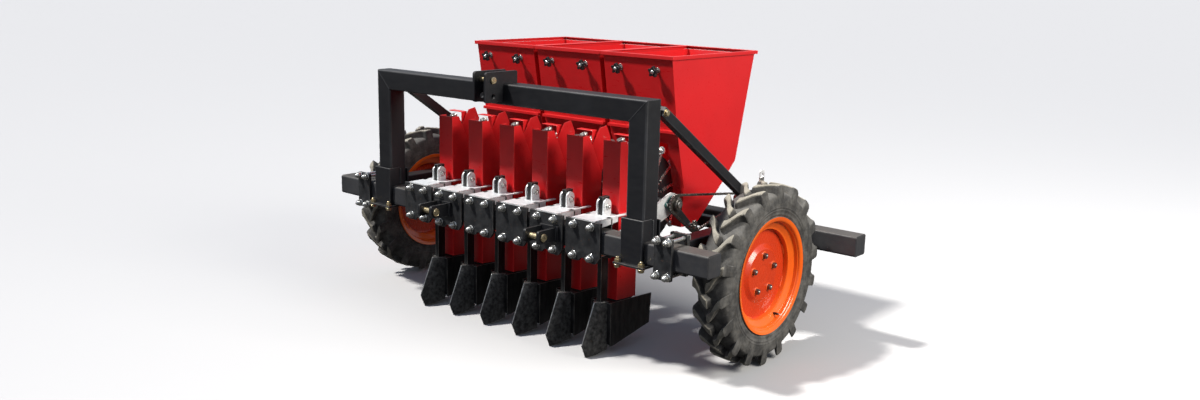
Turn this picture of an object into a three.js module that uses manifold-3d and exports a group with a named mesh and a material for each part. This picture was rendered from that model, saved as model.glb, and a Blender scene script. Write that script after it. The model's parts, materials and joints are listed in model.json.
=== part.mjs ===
// A three-point-mounted, six-row garlic planter: two square toolbars joined by side members on two
// traction-tyred wheels, a mast for the tractor's top link, three hoppers, and six row units. Each row
// unit is a clamp, a furrow opener, a chute and a wheel of cups. The ground wheel on the left drives
// the cup wheels through two roller chains and a countershaft.
//
// Millimetres, +Z up, ground at Z = 0. X runs across the machine, from the operator's right (-X) to
// the left (+X), and Y runs backwards from the tractor. The pieces are laid out with Y = 0 at the
// front face of the front toolbar, and the whole machine is then moved so that its origin lies on the
// ground below the middle of its overall box.

import * as THREE from "three";
import { ConvexGeometry } from "three/addons/geometries/ConvexGeometry.js";
import { mergeVertices } from "three/addons/utils/BufferGeometryUtils.js";
import Module from "manifold-3d";

const wasm = await Module();
wasm.setup();

// ---- Driving dimensions ----

const GAP = 0.3; // between two pieces that touch
const RUN = 0.3; // radial clearance of a turning or sliding pin
const TUBE = 80; // side of the square tube of both toolbars and of the mast
const TUBE_WALL = 6;
const TUBE_CORNER = 8;
const DRAIN_RADIUS = 5; // hole that drains each closed tube

const BAR_FRONT = { halfLength: 985, y: 0, z: 412 };
const BAR_REAR = { halfLength: 1125, y: 780, z: 365 };

const ROW_PITCH = 180;
const SHANK = { half: 10, y0: 87, y1: 126, bolt: [104, 562] }; // shank of each opener
const ROW_XS = [2.5, 1.5, 0.5, -0.5, -1.5, -2.5].map((step) => step * ROW_PITCH);
const HOPPER_XS = [356.5, 0, -356.5];

const PLATE = 12; // clamp plates
const FRONT_FACE = -GAP - PLATE; // front face of the clamp plates
const SIDES = [
  ["left", 1],
  ["right", -1],
];

const MAST = { inner: 635, outer: 715, foot: 492 + GAP, top: 980 };
const METER = { y: 365, z: 550, shaft: 12.5 }; // axis of the cup wheels
const COUNTER = { y: 800, z: 509, shaft: 12 }; // axis of the countershaft
const IDLER = { y: 492, z: 443, stub: 7 };
const AXLE = { y: 430, z: 336, radius: 20 };
const WHEEL_X = 917; // middle plane of each tyre

const TEETH = { wheel: 28, counterOuter: 14, counterInner: 10, meter: 17, idler: 11 };
const CHAIN_PITCH = 12.7;
const CHAIN_HALF = 4; // half the height of the chain's side plates
const CHAIN_WIDTH = 10;
const METER_CHAIN_X = 580; // inner face of the chain that drives the cup wheels
const WHEEL_CHAIN_X = 835; // inner face of the chain that the ground wheel drives

const HOPPER_WALL = 3;
const HOPPER_HALF = 167.5;
const RIM = { top: 1097, height: 14, overhang: 9 };
const KNOB_Z = 1040;
const STUD_RADIUS = 5;

const MACHINE_FRONT = -115; // front edge of the lower hitch ears
const MACHINE_REAR = 975; // rear edge of the hopper rims

// ---- Materials ----

const paint = (color, roughness, metalness = 0) =>
  new THREE.MeshStandardMaterial({ color, roughness, metalness });
const LOOKS = {
  black: paint(0x1c1d20, 0.35),
  red: paint(0xc0201f, 0.35),
  orange: paint(0xe6501a, 0.3),
  galvanised: paint(0xc3c8cc, 0.45, 0.8),
  zinc: paint(0xc9b878, 0.35, 0.9),
  steel: paint(0x5b5a57, 0.5, 0.8),
  worn: paint(0x3f3f3e, 0.55, 0.6),
  rubber: paint(0x4c4843, 0.9),
  plastic: paint(0x141414, 0.4),
};

// ---- Solids from three.js geometries ----

function solidOf(geometry) {
  const bare = geometry.clone();
  bare.deleteAttribute("normal");
  bare.deleteAttribute("uv");
  const merged = mergeVertices(bare, 1e-4);
  const index = merged.index.array;
  const kept = [];
  for (let i = 0; i < index.length; i += 3) {
    const [a, b, c] = [index[i], index[i + 1], index[i + 2]];
    if (a !== b && b !== c && c !== a) kept.push(a, b, c);
  }
  return new wasm.Manifold(
    new wasm.Mesh({
      numProp: 3,
      vertProperties: merged.attributes.position.array,
      triVerts: new Uint32Array(kept),
    }),
  );
}

const join = (...solids) => solids.flat(Infinity).reduce((whole, next) => whole.add(next));
const cut = (solid, ...tools) => tools.flat(Infinity).reduce((left, tool) => left.subtract(tool), solid);

// The box between two corners.
function box([x0, y0, z0], [x1, y1, z1]) {
  const geometry = new THREE.BoxGeometry(x1 - x0, y1 - y0, z1 - z0);
  return solidOf(geometry.translate((x0 + x1) / 2, (y0 + y1) / 2, (z0 + z1) / 2));
}

function extruded(points, length) {
  const shape = new THREE.Shape(points.map(([a, b]) => new THREE.Vector2(a, b)));
  return new THREE.ExtrudeGeometry(shape, { depth: length, bevelEnabled: false, steps: 1 });
}

// Prisms along X, Y and Z, from outlines in (y, z), (x, z) and (x, y).
function prismX(points, x0, x1) {
  const swap = new THREE.Matrix4().makeBasis(
    new THREE.Vector3(0, 1, 0),
    new THREE.Vector3(0, 0, 1),
    new THREE.Vector3(1, 0, 0),
  );
  return solidOf(extruded(points, x1 - x0).applyMatrix4(swap).translate(x0, 0, 0));
}

function prismY(points, y0, y1) {
  return solidOf(extruded(points, y1 - y0).rotateX(Math.PI / 2).translate(0, y1, 0));
}

function prismZ(points, z0, z1) {
  return solidOf(extruded(points, z1 - z0).translate(0, 0, z0));
}

// Round bars along X, Y and Z. A turned polygon puts a flat face, not a corner, at the bottom.
function rodX(radius, x0, x1, [y, z], sides = 16) {
  const geometry = new THREE.CylinderGeometry(radius, radius, x1 - x0, sides);
  return solidOf(geometry.rotateZ(-Math.PI / 2).translate((x0 + x1) / 2, y, z));
}

function rodY(radius, y0, y1, [x, z], sides = 16) {
  const geometry = new THREE.CylinderGeometry(radius, radius, y1 - y0, sides);
  return solidOf(geometry.translate(x, (y0 + y1) / 2, z));
}

function rodZ(radius, z0, z1, [x, y], sides = 16) {
  const geometry = new THREE.CylinderGeometry(radius, radius, z1 - z0, sides);
  return solidOf(geometry.rotateX(Math.PI / 2).translate(x, y, (z0 + z1) / 2));
}

// A solid of revolution about the X axis, from a closed outline in (x, radius).
function turnedX(points, segments) {
  const closed = [...points, points[0]];
  const twiceArea = closed.slice(1).reduce(
    (sum, [x, r], i) => sum + closed[i][0] * r - x * closed[i][1],
    0,
  );
  const ordered = twiceArea > 0 ? closed.reverse() : closed;
  const profile = ordered.map(([x, r]) => new THREE.Vector2(r, x));
  return solidOf(new THREE.LatheGeometry(profile, segments).rotateZ(-Math.PI / 2));
}

const hullOf = (points) =>
  solidOf(new ConvexGeometry(points.map(([x, y, z]) => new THREE.Vector3(x, y, z))));

// Points on a circle in a plane.
function circle(radius, [a, b], count) {
  return Array.from({ length: count }, (_, i) => {
    const angle = (2 * Math.PI * i) / count;
    return [a + radius * Math.cos(angle), b + radius * Math.sin(angle)];
  });
}

// A rectangle with rounded corners, from its low corner.
function rounded([a0, b0], [a1, b1], radius, steps = 2) {
  const corners = [
    [a1 - radius, b0 + radius, -90],
    [a1 - radius, b1 - radius, 0],
    [a0 + radius, b1 - radius, 90],
    [a0 + radius, b0 + radius, 180],
  ];
  return corners.flatMap(([a, b, start]) =>
    Array.from({ length: steps + 1 }, (_, i) => {
      const angle = THREE.MathUtils.degToRad(start + (90 * i) / steps);
      return [a + radius * Math.cos(angle), b + radius * Math.sin(angle)];
    }),
  );
}

// The outline of a counter-clockwise polygon moved inwards by a wall's thickness.
function inset(points, wall) {
  const edge = (p, q) => new THREE.Vector2(q[0] - p[0], q[1] - p[1]).normalize();
  return points.map((point, i) => {
    const before = edge(points[(i + points.length - 1) % points.length], point);
    const after = edge(point, points[(i + 1) % points.length]);
    const inward = new THREE.Vector2(-before.y - after.y, before.x + after.x).normalize();
    const reach = wall / inward.dot(new THREE.Vector2(-before.y, before.x));
    return [point[0] + inward.x * reach, point[1] + inward.y * reach];
  });
}

// ---- Fasteners ----

// A bolt along Y: a hexagon nut in front of frontY, and its shank back to rearY.
function boltY(radius, frontY, rearY, [x, z]) {
  return join(
    rodY(radius * 1.7, frontY - radius * 2.2, frontY + 1, [x, z], 6),
    rodY(radius, frontY + 2, rearY, [x, z], 6),
  );
}

// ---- Pieces of the frame ----

// A toolbar: a rounded square tube with closed ends and a drain hole in its underside.
function toolbar({ halfLength, y, z }) {
  const outer = prismX(rounded([y, z], [y + TUBE, z + TUBE], TUBE_CORNER), -halfLength, halfLength);
  const inner = box(
    [-halfLength + TUBE_WALL, y + TUBE_WALL, z + TUBE_WALL],
    [halfLength - TUBE_WALL, y + TUBE - TUBE_WALL, z + TUBE - TUBE_WALL],
  );
  const drain = rodZ(DRAIN_RADIUS, z - 1, z + TUBE_WALL + 1, [0, y + TUBE / 2], 8);
  return cut(outer, inner, drain);
}

// The mast: an inverted U of the same tube, with a saddle at each foot that holds the toolbar.
function mast() {
  const { inner, outer, foot, top } = MAST;
  const arch = (wall) => [
    [-outer + wall, foot + wall],
    [-inner - wall, foot + wall],
    [-inner - wall, top - TUBE + wall],
    [inner + wall, top - TUBE + wall],
    [inner + wall, foot + wall],
    [outer - wall, foot + wall],
    [outer - wall, top - wall],
    [-outer + wall, top - wall],
  ];
  const tube = cut(
    prismY(arch(0), 0, TUBE),
    prismY(arch(TUBE_WALL), TUBE_WALL, TUBE - TUBE_WALL),
    rodZ(DRAIN_RADIUS, top - TUBE - 1, top - TUBE + TUBE_WALL + 1, [200, TUBE / 2], 8),
  );
  return join(tube, mastFoot(1), mastFoot(-1));
}

// A mast foot: a channel down the front of the post and the toolbar, a strip down the back, and a
// plate under the toolbar with its four bolts. A lug behind the post's top takes the brace.
function mastFoot(side) {
  const middle = (MAST.inner + MAST.outer) / 2;
  const across = (a, b) => (side > 0 ? [a, b] : [-b, -a]);
  const block = ([xa, xb], [y0, y1], [z0, z1]) => {
    const [x0, x1] = across(xa, xb);
    return box([x0, y0, z0], [x1, y1, z1]);
  };
  const barTop = BAR_FRONT.z + TUBE;
  const under = BAR_FRONT.z - GAP;
  const web = block([middle - 48, middle + 48], [-16, -8], [under - 8, 570]);
  const flanges = [
    [middle - 48, middle - 40],
    [middle + 40, middle + 48],
  ].map((span) =>
    join(
      block(span, [-16, -GAP], [under - 8, barTop]),
      block(span, [-16, 40], [barTop + GAP, 570]),
      block(span, [-16, -GAP], [barTop - 1, 570]),
    ),
  );
  const back = join(
    block([middle - 48, middle + 48], [TUBE + GAP, TUBE + 8], [under - 8, 560]),
    block([middle - 40, middle + 40], [TUBE - 1, TUBE + 1], [barTop + 10, 560]),
  );
  const plate = block([middle - 64, middle + 68], [-35, 105], [under - 8, under]);
  const bolts = [-50, 54].flatMap((dx) =>
    [-25, 96].map((y) => rodZ(9, under - 20, under - 6, [side * (middle + dx), y], 6)),
  );
  const [lug0, lug1] = across(MAST.outer - 50, MAST.outer - 30 - GAP);
  const lug = cut(
    prismX([[79, 895], [126, 907], [126, 953], [79, 965]], lug0, lug1),
    rodX(6 + 2 * RUN, lug0 - 1, lug1 + 1, BRACE_ENDS[0], 10),
  );
  return join(web, flanges, back, plate, bolts, lug);
}

// The ends of a brace as [y, z]: on the mast's lug and on the side member.
const BRACE_ENDS = [[106, 930], [752, 497]];

// A brace from the mast's lug down to the side member, with its two bolts.
function brace() {
  const [top, low] = BRACE_ENDS;
  const [depth, wall] = [38, 3];
  const [x0, x1] = [MAST.outer - 30, MAST.outer];
  const run = new THREE.Vector2(low[0] - top[0], low[1] - top[1]).normalize();
  const corner = ([y, z], along, aside) => [
    y + run.x * along - run.y * aside,
    z + run.y * along + run.x * aside,
  ];
  const outline = (reach, half) => [
    corner(top, -reach, -half),
    corner(low, reach, -half),
    corner(low, reach, half),
    corner(top, -reach, half),
  ];
  const tube = cut(
    prismX(outline(12, depth / 2), x0, x1),
    prismX(outline(40, depth / 2 - wall), x0 + wall, x1 - wall),
  );
  const topBolt = join(rodX(6, x0 - 30, x1 + 2, top, 10), rodX(11, x1 - 1, x1 + 8, top, 6));
  const lowBolt = join(rodX(6, x0 + 1, x1 + 16, low, 10), rodX(11, x1 + 11, x1 + 19, low, 6));
  return join(tube, topBolt, lowBolt);
}

// A side member from the front clamp to over the rear toolbar, with the rear saddle plates, the
// hanger plate and stub axle of its wheel, the lug of the brace, and an upright strap with an eye.
function sideMember(side) {
  const [x0, x1] = [755, 825];
  const [z0, z1] = [BAR_REAR.z + TUBE + GAP, 495];
  const [y0, y1] = [TUBE + 2 * GAP + PLATE, BAR_REAR.y + TUBE + 10];
  const tube = cut(
    box([x0, y0, z0], [x1, y1, z1]),
    box([x0 + 4, y0 + 4, z0 + 4], [x1 - 4, y1 + 1, z1 - 4]),
  );
  const saddle = [
    [BAR_REAR.y - 10, BAR_REAR.y - GAP],
    [BAR_REAR.y + TUBE + GAP, BAR_REAR.y + TUBE + 10],
  ].map(([a, b]) => box([x0 + 5, a, BAR_REAR.z - 5], [x1 - 5, b, z0 + 2]));
  const hanger = prismX(
    [[385, z0 + 1], [398, 305], [418, 296], [442, 296], [462, 305], [475, z0 + 1]],
    x1 - 25,
    x1 - 13,
  );
  const axle = rodX(AXLE.radius, x1 - 25, WHEEL_X + 10, [AXLE.y, AXLE.z], 16);
  const foot = join(
    box([MAST.outer + GAP, 725, 462], [x0 + 1, 779, 477]),
    prismX(rounded([730, 475], [774, 519], 12), MAST.outer + GAP, MAST.outer + 10),
  );
  const hole = rodX(6 + 2 * RUN, MAST.outer - 1, MAST.outer + 12, BRACE_ENDS[1], 10);
  const eye = cut(
    box([x1 - 31, 606, z1 - 1], [x1 - 25, 634, 678]),
    rodX(8, x1 - 32, x1 - 24, [620, 658], 8),
  );
  const parts = [tube, saddle, hanger, axle, cut(foot, hole), eye];
  return join(parts, side > 0 ? [counterBearing(z1)] : []);
}

// The bearing block of the countershaft, on top of the left side member.
function counterBearing(seat) {
  const { y, z, shaft } = COUNTER;
  const base = box([765, y - 40, seat - 1], [815, y + 40, seat + 1.5]);
  const body = prismX([[y - 26, seat], [y + 26, seat], [y + 18, z + 24], [y - 18, z + 24]], 775, 805);
  return cut(join(base, body), rodX(shaft + 2 * RUN, 764, 816, [y, z], 12));
}

// The clamp that holds a side member to the front toolbar: two plates and four bolts.
function sideClamp() {
  const [x0, x1] = [770, 846];
  const [z0, z1] = [378, 528];
  const plates = [
    [FRONT_FACE, -GAP],
    [TUBE + GAP, TUBE + GAP + PLATE],
  ].map(([y0, y1]) => box([x0, y0, z0], [x1, y1, z1]));
  const bolts = [x0 + 15, x1 - 15].flatMap((x) =>
    [z0 + 14, z1 - 14].map((z) => boltY(7, FRONT_FACE, TUBE + 2, [x, z])),
  );
  return join(plates, bolts);
}

// ---- Hitch ----

const TOP_PIN = [-55, 996];

// The top link bracket: two plates that grip the mast's beam, with a web across its face and top.
function topLinkBracket() {
  const [face, crown] = [-GAP, MAST.top + GAP];
  const outline = [
    [-92, 918], [-87, 913], [face, 913], [face, crown], [74, crown],
    [74, 1022], [69, 1027], [-77, 1027], [-92, 1012],
  ];
  const plates = [prismX(outline, -35, -25), prismX(outline, 25, 35)];
  const web = box([-26, face - 10, 918], [26, face, 1018]);
  const cap = box([-26, face - 1, crown], [26, 70, crown + 8]);
  const holes = [TOP_PIN, [-52, 936]].map((at) => rodX(9.5 + RUN, -40, 40, at, 16));
  return cut(join(plates, web, cap), holes);
}

// A headed pin along X, with the head at its far end and a hole for its clip near the other end.
function headedPin(radius, head, halfGap) {
  const pin = join(
    rodX(radius, -halfGap - 14, halfGap + 1, [0, 0], 16),
    rodX(head, halfGap + GAP, halfGap + 8, [0, 0], 16),
  );
  return cut(pin, rodZ(radius * 0.25, -radius - 1, radius + 1, [-halfGap - 8, 0], 8));
}

const LOWER_PIN = [-90, 455];
const LOWER_X = 291;

// A lower hitch bracket: a base plate on the row clamp's front plate and two ears.
function lowerHitch() {
  const back = FRONT_FACE - GAP;
  const ear = [
    [back, 431], [-105, 431], [MACHINE_FRONT, 441], [MACHINE_FRONT, 471], [-105, 481], [back, 481],
  ];
  const ears = [prismX(ear, -38, -28), prismX(ear, 28, 38)];
  const base = box([-46, back - 10, 425], [46, back, 485]);
  return cut(join(ears, base), rodX(11 + RUN, -40, 40, LOWER_PIN, 16));
}

// ---- Row units ----

// A row clamp: front and rear plates with four bolts round the toolbar, and a top plate with the two
// lugs and the bolt that hold the opener's shank.
function rowClamp() {
  const top = 528;
  const front = [
    [-82, top], [-82, 400], [-66, 375], [-20, 375], [-8, 388], [8, 388], [20, 375], [66, 375],
    [82, 400], [82, top],
  ];
  const plates = [
    prismY([...front].reverse(), FRONT_FACE, -GAP),
    box([-58, TUBE + GAP, 378], [58, TUBE + 6, top]),
  ];
  const slot = SHANK.half + 0.5;
  const deck = prismZ(
    [
      [-56, FRONT_FACE], [56, FRONT_FACE], [56, 180], [41 + GAP, 180], [41 + GAP, 130], [slot, 130],
      [slot, SHANK.y0 - 0.5], [-slot, SHANK.y0 - 0.5], [-slot, 130], [-41 - GAP, 130],
      [-41 - GAP, 180], [-56, 180],
    ],
    top - 1,
    top + 4,
  );
  const flanges = [-1, 1].map((side) => {
    const [a, b] = side > 0 ? [52, 56] : [-56, -52];
    return prismX([[0, 500], [120, 510], [120, top], [0, top]], a, b);
  });
  const lug = [[83, top + 3], [125, top + 3], [125, 573], [114, 592], [94, 592], [83, 573]];
  const lugs = [prismX(lug, 11, 19), prismX(lug, -19, -11)];
  const shankBolt = join(rodX(6, -24, 19, SHANK.bolt, 6), rodX(10, 18.5, 26, SHANK.bolt, 6));
  const bolts = [-41, 41].flatMap((x) =>
    [395, 509].map((z) => boltY(8, FRONT_FACE, TUBE + 2, [x, z])),
  );
  return join(plates, deck, flanges, lugs, shankBolt, bolts);
}

// A furrow opener: a flat shank, a creased wedge nose that rises from its toe, and a web behind the
// nose that carries two side wings.
function opener() {
  const shank = cut(
    box([-SHANK.half, SHANK.y0, 60], [SHANK.half, SHANK.y1, 599]),
    rodX(6 + 4 * RUN, -11, 11, SHANK.bolt, 8),
  );
  const mirrored = (points) => points.flatMap(([x, y, z]) => [[x, y, z], [-x, y, z]]);
  const edge = [[1.5, 61, 204], [1.5, -6, 51], [1.5, 17, 0], [5, 34, 0]];
  const crease = [[17, 80, 203], [22, 50, 8]];
  const back = [[30, 112, 202], [30, 108, 16]];
  const nose = hullOf(mirrored([...edge, ...crease, ...back]));
  const web = box([-46, 104, 36], [46, 142.5, 198]);
  const wing = [[102, 32], [120, 32], [337, 72], [347, 190], [102, 202]];
  const wings = [prismX(wing, 44, 48), prismX(wing, -48, -44)];
  return join(shank, nose, web, wings);
}

// A chute: a channel open behind the cup wheel, closed at its lower back, with a wing that flares out
// from the sloping top of its left side.
function chute() {
  const [half, wall] = [41, 3];
  const [y0, y1] = [143, 255];
  const side = [[y0, 203], [y1, 196], [y1, 645], [180, 797], [y0, 797]];
  const channel = cut(
    prismX(side, -half, half),
    box([-half + wall, y0 + wall, 184], [half - wall, y1 - wall, 798]),
    box([-half + wall, y1 - wall - 1, 360], [half - wall, y1 + 1, 798]),
  );
  const wing = [[38.5, 180, 797], [53, 209, 829], [66, 246, 833], [66, 271, 786], [38.5, 255, 645]];
  const flare = hullOf(wing.flatMap(([x, y, z]) => [[x, y, z], [x + 2.5, y - 0.5, z]]));
  return join(channel, flare);
}

// A cup wheel about the metering shaft: a disc, and arms that each end in a cup.
function cupWheel() {
  const arms = 14;
  const flat = rodX(105, -3, 3, [0, 0], 2 * arms).rotate([90 / arms, 0, 0]);
  const disc = join(flat, rodX(24, -18, 18, [0, 0], 12));
  const ends = [[-8, -5, 180], [8, -5, 180], [-16, -12, 206], [16, -12, 206]];
  const backs = [[-7, 6, 182], [7, 6, 182], [-13, 14, 211], [13, 14, 211]];
  const arm = join(box([-2.5, -6, 98], [2.5, 6, 183]), hullOf([...ends, ...backs]));
  const spokes = Array.from({ length: arms }, (_, i) => arm.rotate([(360 * i) / arms, 0, 0]));
  return cut(join(disc, spokes), rodX(METER.shaft + 2 * RUN, -20, 20, [0, 0], 12));
}

// ---- Hoppers ----

const HOPPER_SIDE = [
  [395, 1083], [440, 820], [499, 590], [503, 425], [604, 418], [858, 653], [963, 1083],
];
const WALL_LEAN = Math.atan2(440 - 395, 1083 - 820); // lean of the upper front wall
const KNOB_Y = 395 + (1083 - KNOB_Z) * Math.tan(WALL_LEAN);

// A hopper round x = 0: a sheet bin open at the top with a folded rim, a lip across its front, a
// slot for each cup wheel and a hole for each knob's stud.
function hopper(rows) {
  const crease = 570;
  const taper = 12;
  const bin = (wall, top) => {
    const half = HOPPER_HALF - wall;
    const side = inset([...HOPPER_SIDE], wall);
    const raised = side.map(([y, z], i) => (i === 0 || i === 6 ? [y, top] : [y, z]));
    const front = [
      [-half, top], [-half, crease], [-half + taper, 400], [half - taper, 400], [half, crease],
      [half, top],
    ];
    return prismX(raised, -half, half).intersect(prismY(front, 300, 1000));
  };
  const shell = cut(bin(0, RIM.top - RIM.height + 1), bin(HOPPER_WALL, RIM.top + 1));
  const half = HOPPER_HALF + RIM.overhang;
  const rim = cut(
    box([-half, MACHINE_REAR - 589, RIM.top - RIM.height], [half, MACHINE_REAR, RIM.top]),
    box(
      [-HOPPER_HALF + HOPPER_WALL, 399, RIM.top - RIM.height - 1],
      [HOPPER_HALF - HOPPER_WALL, 959, RIM.top + 1],
    ),
  );
  const lip = box([-HOPPER_HALF, 428, 800], [HOPPER_HALF, 445, 812]);
  const slots = rows.map((x) => box([x - 20, 430, 380], [x + 20, 540, 756]));
  const studs = rows.map((x) =>
    rodY(STUD_RADIUS + 2 * RUN, -12, 12, [0, 0], 8)
      .rotate([THREE.MathUtils.radToDeg(WALL_LEAN), 0, 0])
      .translate([x, KNOB_Y, KNOB_Z]),
  );
  return cut(join(shell, rim, lip), slots, studs);
}

// A star knob on the stud that runs through the hopper's wall, with its face towards -Y.
function knob() {
  const lobes = Array.from({ length: 15 }, (_, i) => {
    const angle = (2 * Math.PI * i) / 15;
    const radius = i % 3 < 2 ? 22 : 14;
    return [radius * Math.cos(angle), radius * Math.sin(angle)];
  });
  return join(
    prismY(lobes, -34, -18),
    rodY(8, -38, -33, [0, 0], 8),
    rodY(STUD_RADIUS, -19, 9, [0, 0], 8),
  );
}

// The bar under the hoppers, with a gusset up to each hopper's sloping back.
function hopperCrossbar() {
  const [y0, y1] = [660, 700];
  const [z0, z1] = [400, BAR_REAR.z + TUBE];
  const tube = cut(
    box([-825, y0, z0], [825, y1, z1]),
    box([-829, y0 + 4, z0 + 4], [829, y1 - 4, z1 - 4]),
  );
  const slope = (653 - 418) / (858 - 604);
  const under = (y) => 418 + (y - 604) * slope - 2 * GAP;
  const gusset = [[y0, z1 - 1], [y1, z1 - 1], [y1, under(y1)], [y0, under(y0)]];
  const gussets = HOPPER_XS.flatMap((x) =>
    [-100, 100].map((dx) => prismX(gusset, x + dx - 20, x + dx + 20)),
  );
  return join(tube, gussets);
}

// ---- Drive ----

const pitchRadius = (teeth) => (teeth * CHAIN_PITCH) / (2 * Math.PI);

// A toothed disc about the X axis, just inside the chain that runs round it.
function sprocket(teeth, x0, x1, [y, z]) {
  const tip = pitchRadius(teeth) - CHAIN_HALF - 1;
  const outline = Array.from({ length: teeth * 2 }, (_, i) => {
    const angle = (Math.PI * i) / teeth;
    const reach = i % 2 ? tip : tip - 3;
    return [y + reach * Math.cos(angle), z + reach * Math.sin(angle)];
  });
  return prismX(outline, x0, x1);
}

// A chain round a set of sprockets, each [teeth, [y, z]].
function chain(rounds, x0) {
  const loop = (extra, a, b) =>
    hullOf(
      rounds.flatMap(([teeth, at]) =>
        circle(pitchRadius(teeth) + extra, at, 20).flatMap(([y, z]) => [[a, y, z], [b, y, z]]),
      ),
    );
  return cut(
    loop(CHAIN_HALF, x0, x0 + CHAIN_WIDTH),
    loop(-CHAIN_HALF, x0 - 1, x0 + CHAIN_WIDTH + 1),
  );
}

const METER_AT = [METER.y, METER.z];
const COUNTER_AT = [COUNTER.y, COUNTER.z];
const IDLER_AT = [IDLER.y, IDLER.z];
const AXLE_AT = [AXLE.y, AXLE.z];

function meteringShaft() {
  return join(
    rodX(METER.shaft, -578, 606, METER_AT, 12),
    sprocket(TEETH.meter, METER_CHAIN_X, METER_CHAIN_X + CHAIN_WIDTH, METER_AT),
    rodX(22, METER_CHAIN_X + CHAIN_WIDTH - 1, METER_CHAIN_X + CHAIN_WIDTH + 12, METER_AT, 12),
  );
}

function countershaft() {
  return join(
    rodX(COUNTER.shaft, 568, WHEEL_CHAIN_X + CHAIN_WIDTH, COUNTER_AT, 12),
    sprocket(TEETH.counterInner, METER_CHAIN_X, METER_CHAIN_X + CHAIN_WIDTH, COUNTER_AT),
    sprocket(TEETH.counterOuter, WHEEL_CHAIN_X, WHEEL_CHAIN_X + CHAIN_WIDTH, COUNTER_AT),
  );
}

function idlerSprocket() {
  const disc = sprocket(TEETH.idler, METER_CHAIN_X, METER_CHAIN_X + CHAIN_WIDTH, IDLER_AT);
  return cut(disc, rodX(IDLER.stub + 2 * RUN, METER_CHAIN_X - 1, METER_CHAIN_X + 11, IDLER_AT, 12));
}

// A bearing bracket behind the front toolbar: a foot, a plate and the housing of the metering shaft.
// The left one also reaches back to the stub of the idler sprocket.
function bearingBracket(side) {
  const [x0, x1] = [556, 564];
  const foot = box([545, TUBE + GAP, BAR_FRONT.z], [605, TUBE + 8, BAR_FRONT.z + TUBE]);
  const arm = [
    ...circle(42, METER_AT, 12),
    [TUBE + GAP, BAR_FRONT.z + 5],
    [TUBE + GAP, BAR_FRONT.z + TUBE - 5],
  ];
  const slab = (points) => hullOf(points.flatMap(([y, z]) => [[x0, y, z], [x1, y, z]]));
  const housing = rodX(32, x0 - 8, x1 + 8, METER_AT, 16);
  const reach = slab([...circle(30, METER_AT, 12), ...circle(20, IDLER_AT, 12)]);
  const stub = join(
    rodX(IDLER.stub, x0 + 1, METER_CHAIN_X + CHAIN_WIDTH + 4, IDLER_AT, 12),
    rodX(IDLER.stub + 5, x1 - 1, METER_CHAIN_X - GAP, IDLER_AT, 12),
  );
  const parts = [foot, slab(arm), housing, side > 0 ? [reach, stub] : []];
  return cut(join(parts), rodX(METER.shaft + 2 * RUN, x0 - 12, x1 + 12, METER_AT, 12));
}

// ---- Wheels, about their own axis, with +X facing outwards ----

// A tyre: a hollow carcass open at its beads, with two staggered rows of slanted lugs.
function tyre() {
  const outer = [
    [54, 206], [56.5, 217], [65, 250], [61, 294], [0, 312], [-61, 294], [-65, 250],
    [-56.5, 217], [-54, 206],
  ];
  const inner = [[-44, 206], [-50, 280], [50, 280], [44, 206]];
  const lugsPerSide = 18;
  const at = (x, radius, degrees) => {
    const angle = THREE.MathUtils.degToRad(degrees);
    return [x, radius * Math.sin(angle), -radius * Math.cos(angle)];
  };
  const lug = (side, turn) =>
    hullOf([
      ...[-2.1, 2.1].flatMap((d) => [at(-side * 4, 336, turn + 8 + d), at(-side * 4, 302, turn + 8 + d)]),
      ...[-2.6, 2.6].flatMap((d) => [at(side * 57, 334, turn - 4 + d), at(side * 58, 292, turn - 4 + d)]),
    ]);
  const step = 360 / lugsPerSide;
  const lugs = Array.from({ length: lugsPerSide }, (_, i) => [
    lug(1, i * step),
    lug(-1, (i + 0.5) * step),
  ]);
  return join(turnedX([...outer, ...inner], 28), lugs);
}

// A wheel: a stepped rim, its dished disc, the hub and five nuts. The left hub carries a sprocket.
function wheel(side) {
  const padOuter = 22;
  const rim = turnedX(
    [
      [64, 216], [58.5, 216], [57.5, 204], [38, 201], [24, 172], [-18, 172], [-38, 201],
      [-57.5, 204], [-58.5, 216], [-64, 216], [-60, 200], [-42, 197], [-20, 167], [4, 167], [4, 106],
      [padOuter - 5, 91], [padOuter - 5, 0], [padOuter, 0], [padOuter, 94], [9, 108], [9, 164],
      [24, 167], [41, 197], [60, 200],
    ],
    28,
  );
  const hubEnd = side > 0 ? WHEEL_CHAIN_X - WHEEL_X : -60;
  const hub = cut(
    rodX(48, hubEnd, padOuter - 4, [0, 0], 16),
    rodX(AXLE.radius + 2 * RUN, hubEnd - 1, 12, [0, 0], 16),
  );
  const nuts = circle(69.85, [0, 0], 5).map(([a, b]) =>
    rodX(12, padOuter - 1, padOuter + 12, [-b, a], 6),
  );
  const drive = side > 0
    ? [cut(sprocket(TEETH.wheel, hubEnd, hubEnd + CHAIN_WIDTH, [0, 0]), rodX(30, -99, 0, [0, 0]))]
    : [];
  return join(rim, hub, nuts, drive);
}

// ---- Assembly ----

const machine = new THREE.Group();
machine.position.y = -(MACHINE_FRONT + MACHINE_REAR) / 2;

function piece(parent, name, solid, look) {
  const { vertProperties, triVerts } = solid.getMesh();
  const geometry = new THREE.BufferGeometry();
  geometry.setAttribute("position", new THREE.BufferAttribute(vertProperties, 3));
  geometry.setIndex(new THREE.BufferAttribute(triVerts, 1));
  const mesh = new THREE.Mesh(geometry, look);
  mesh.name = name;
  parent.add(mesh);
  return mesh;
}

function groupAt(x, y, z) {
  const group = new THREE.Group();
  group.position.set(x, y, z);
  machine.add(group);
  return group;
}

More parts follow.
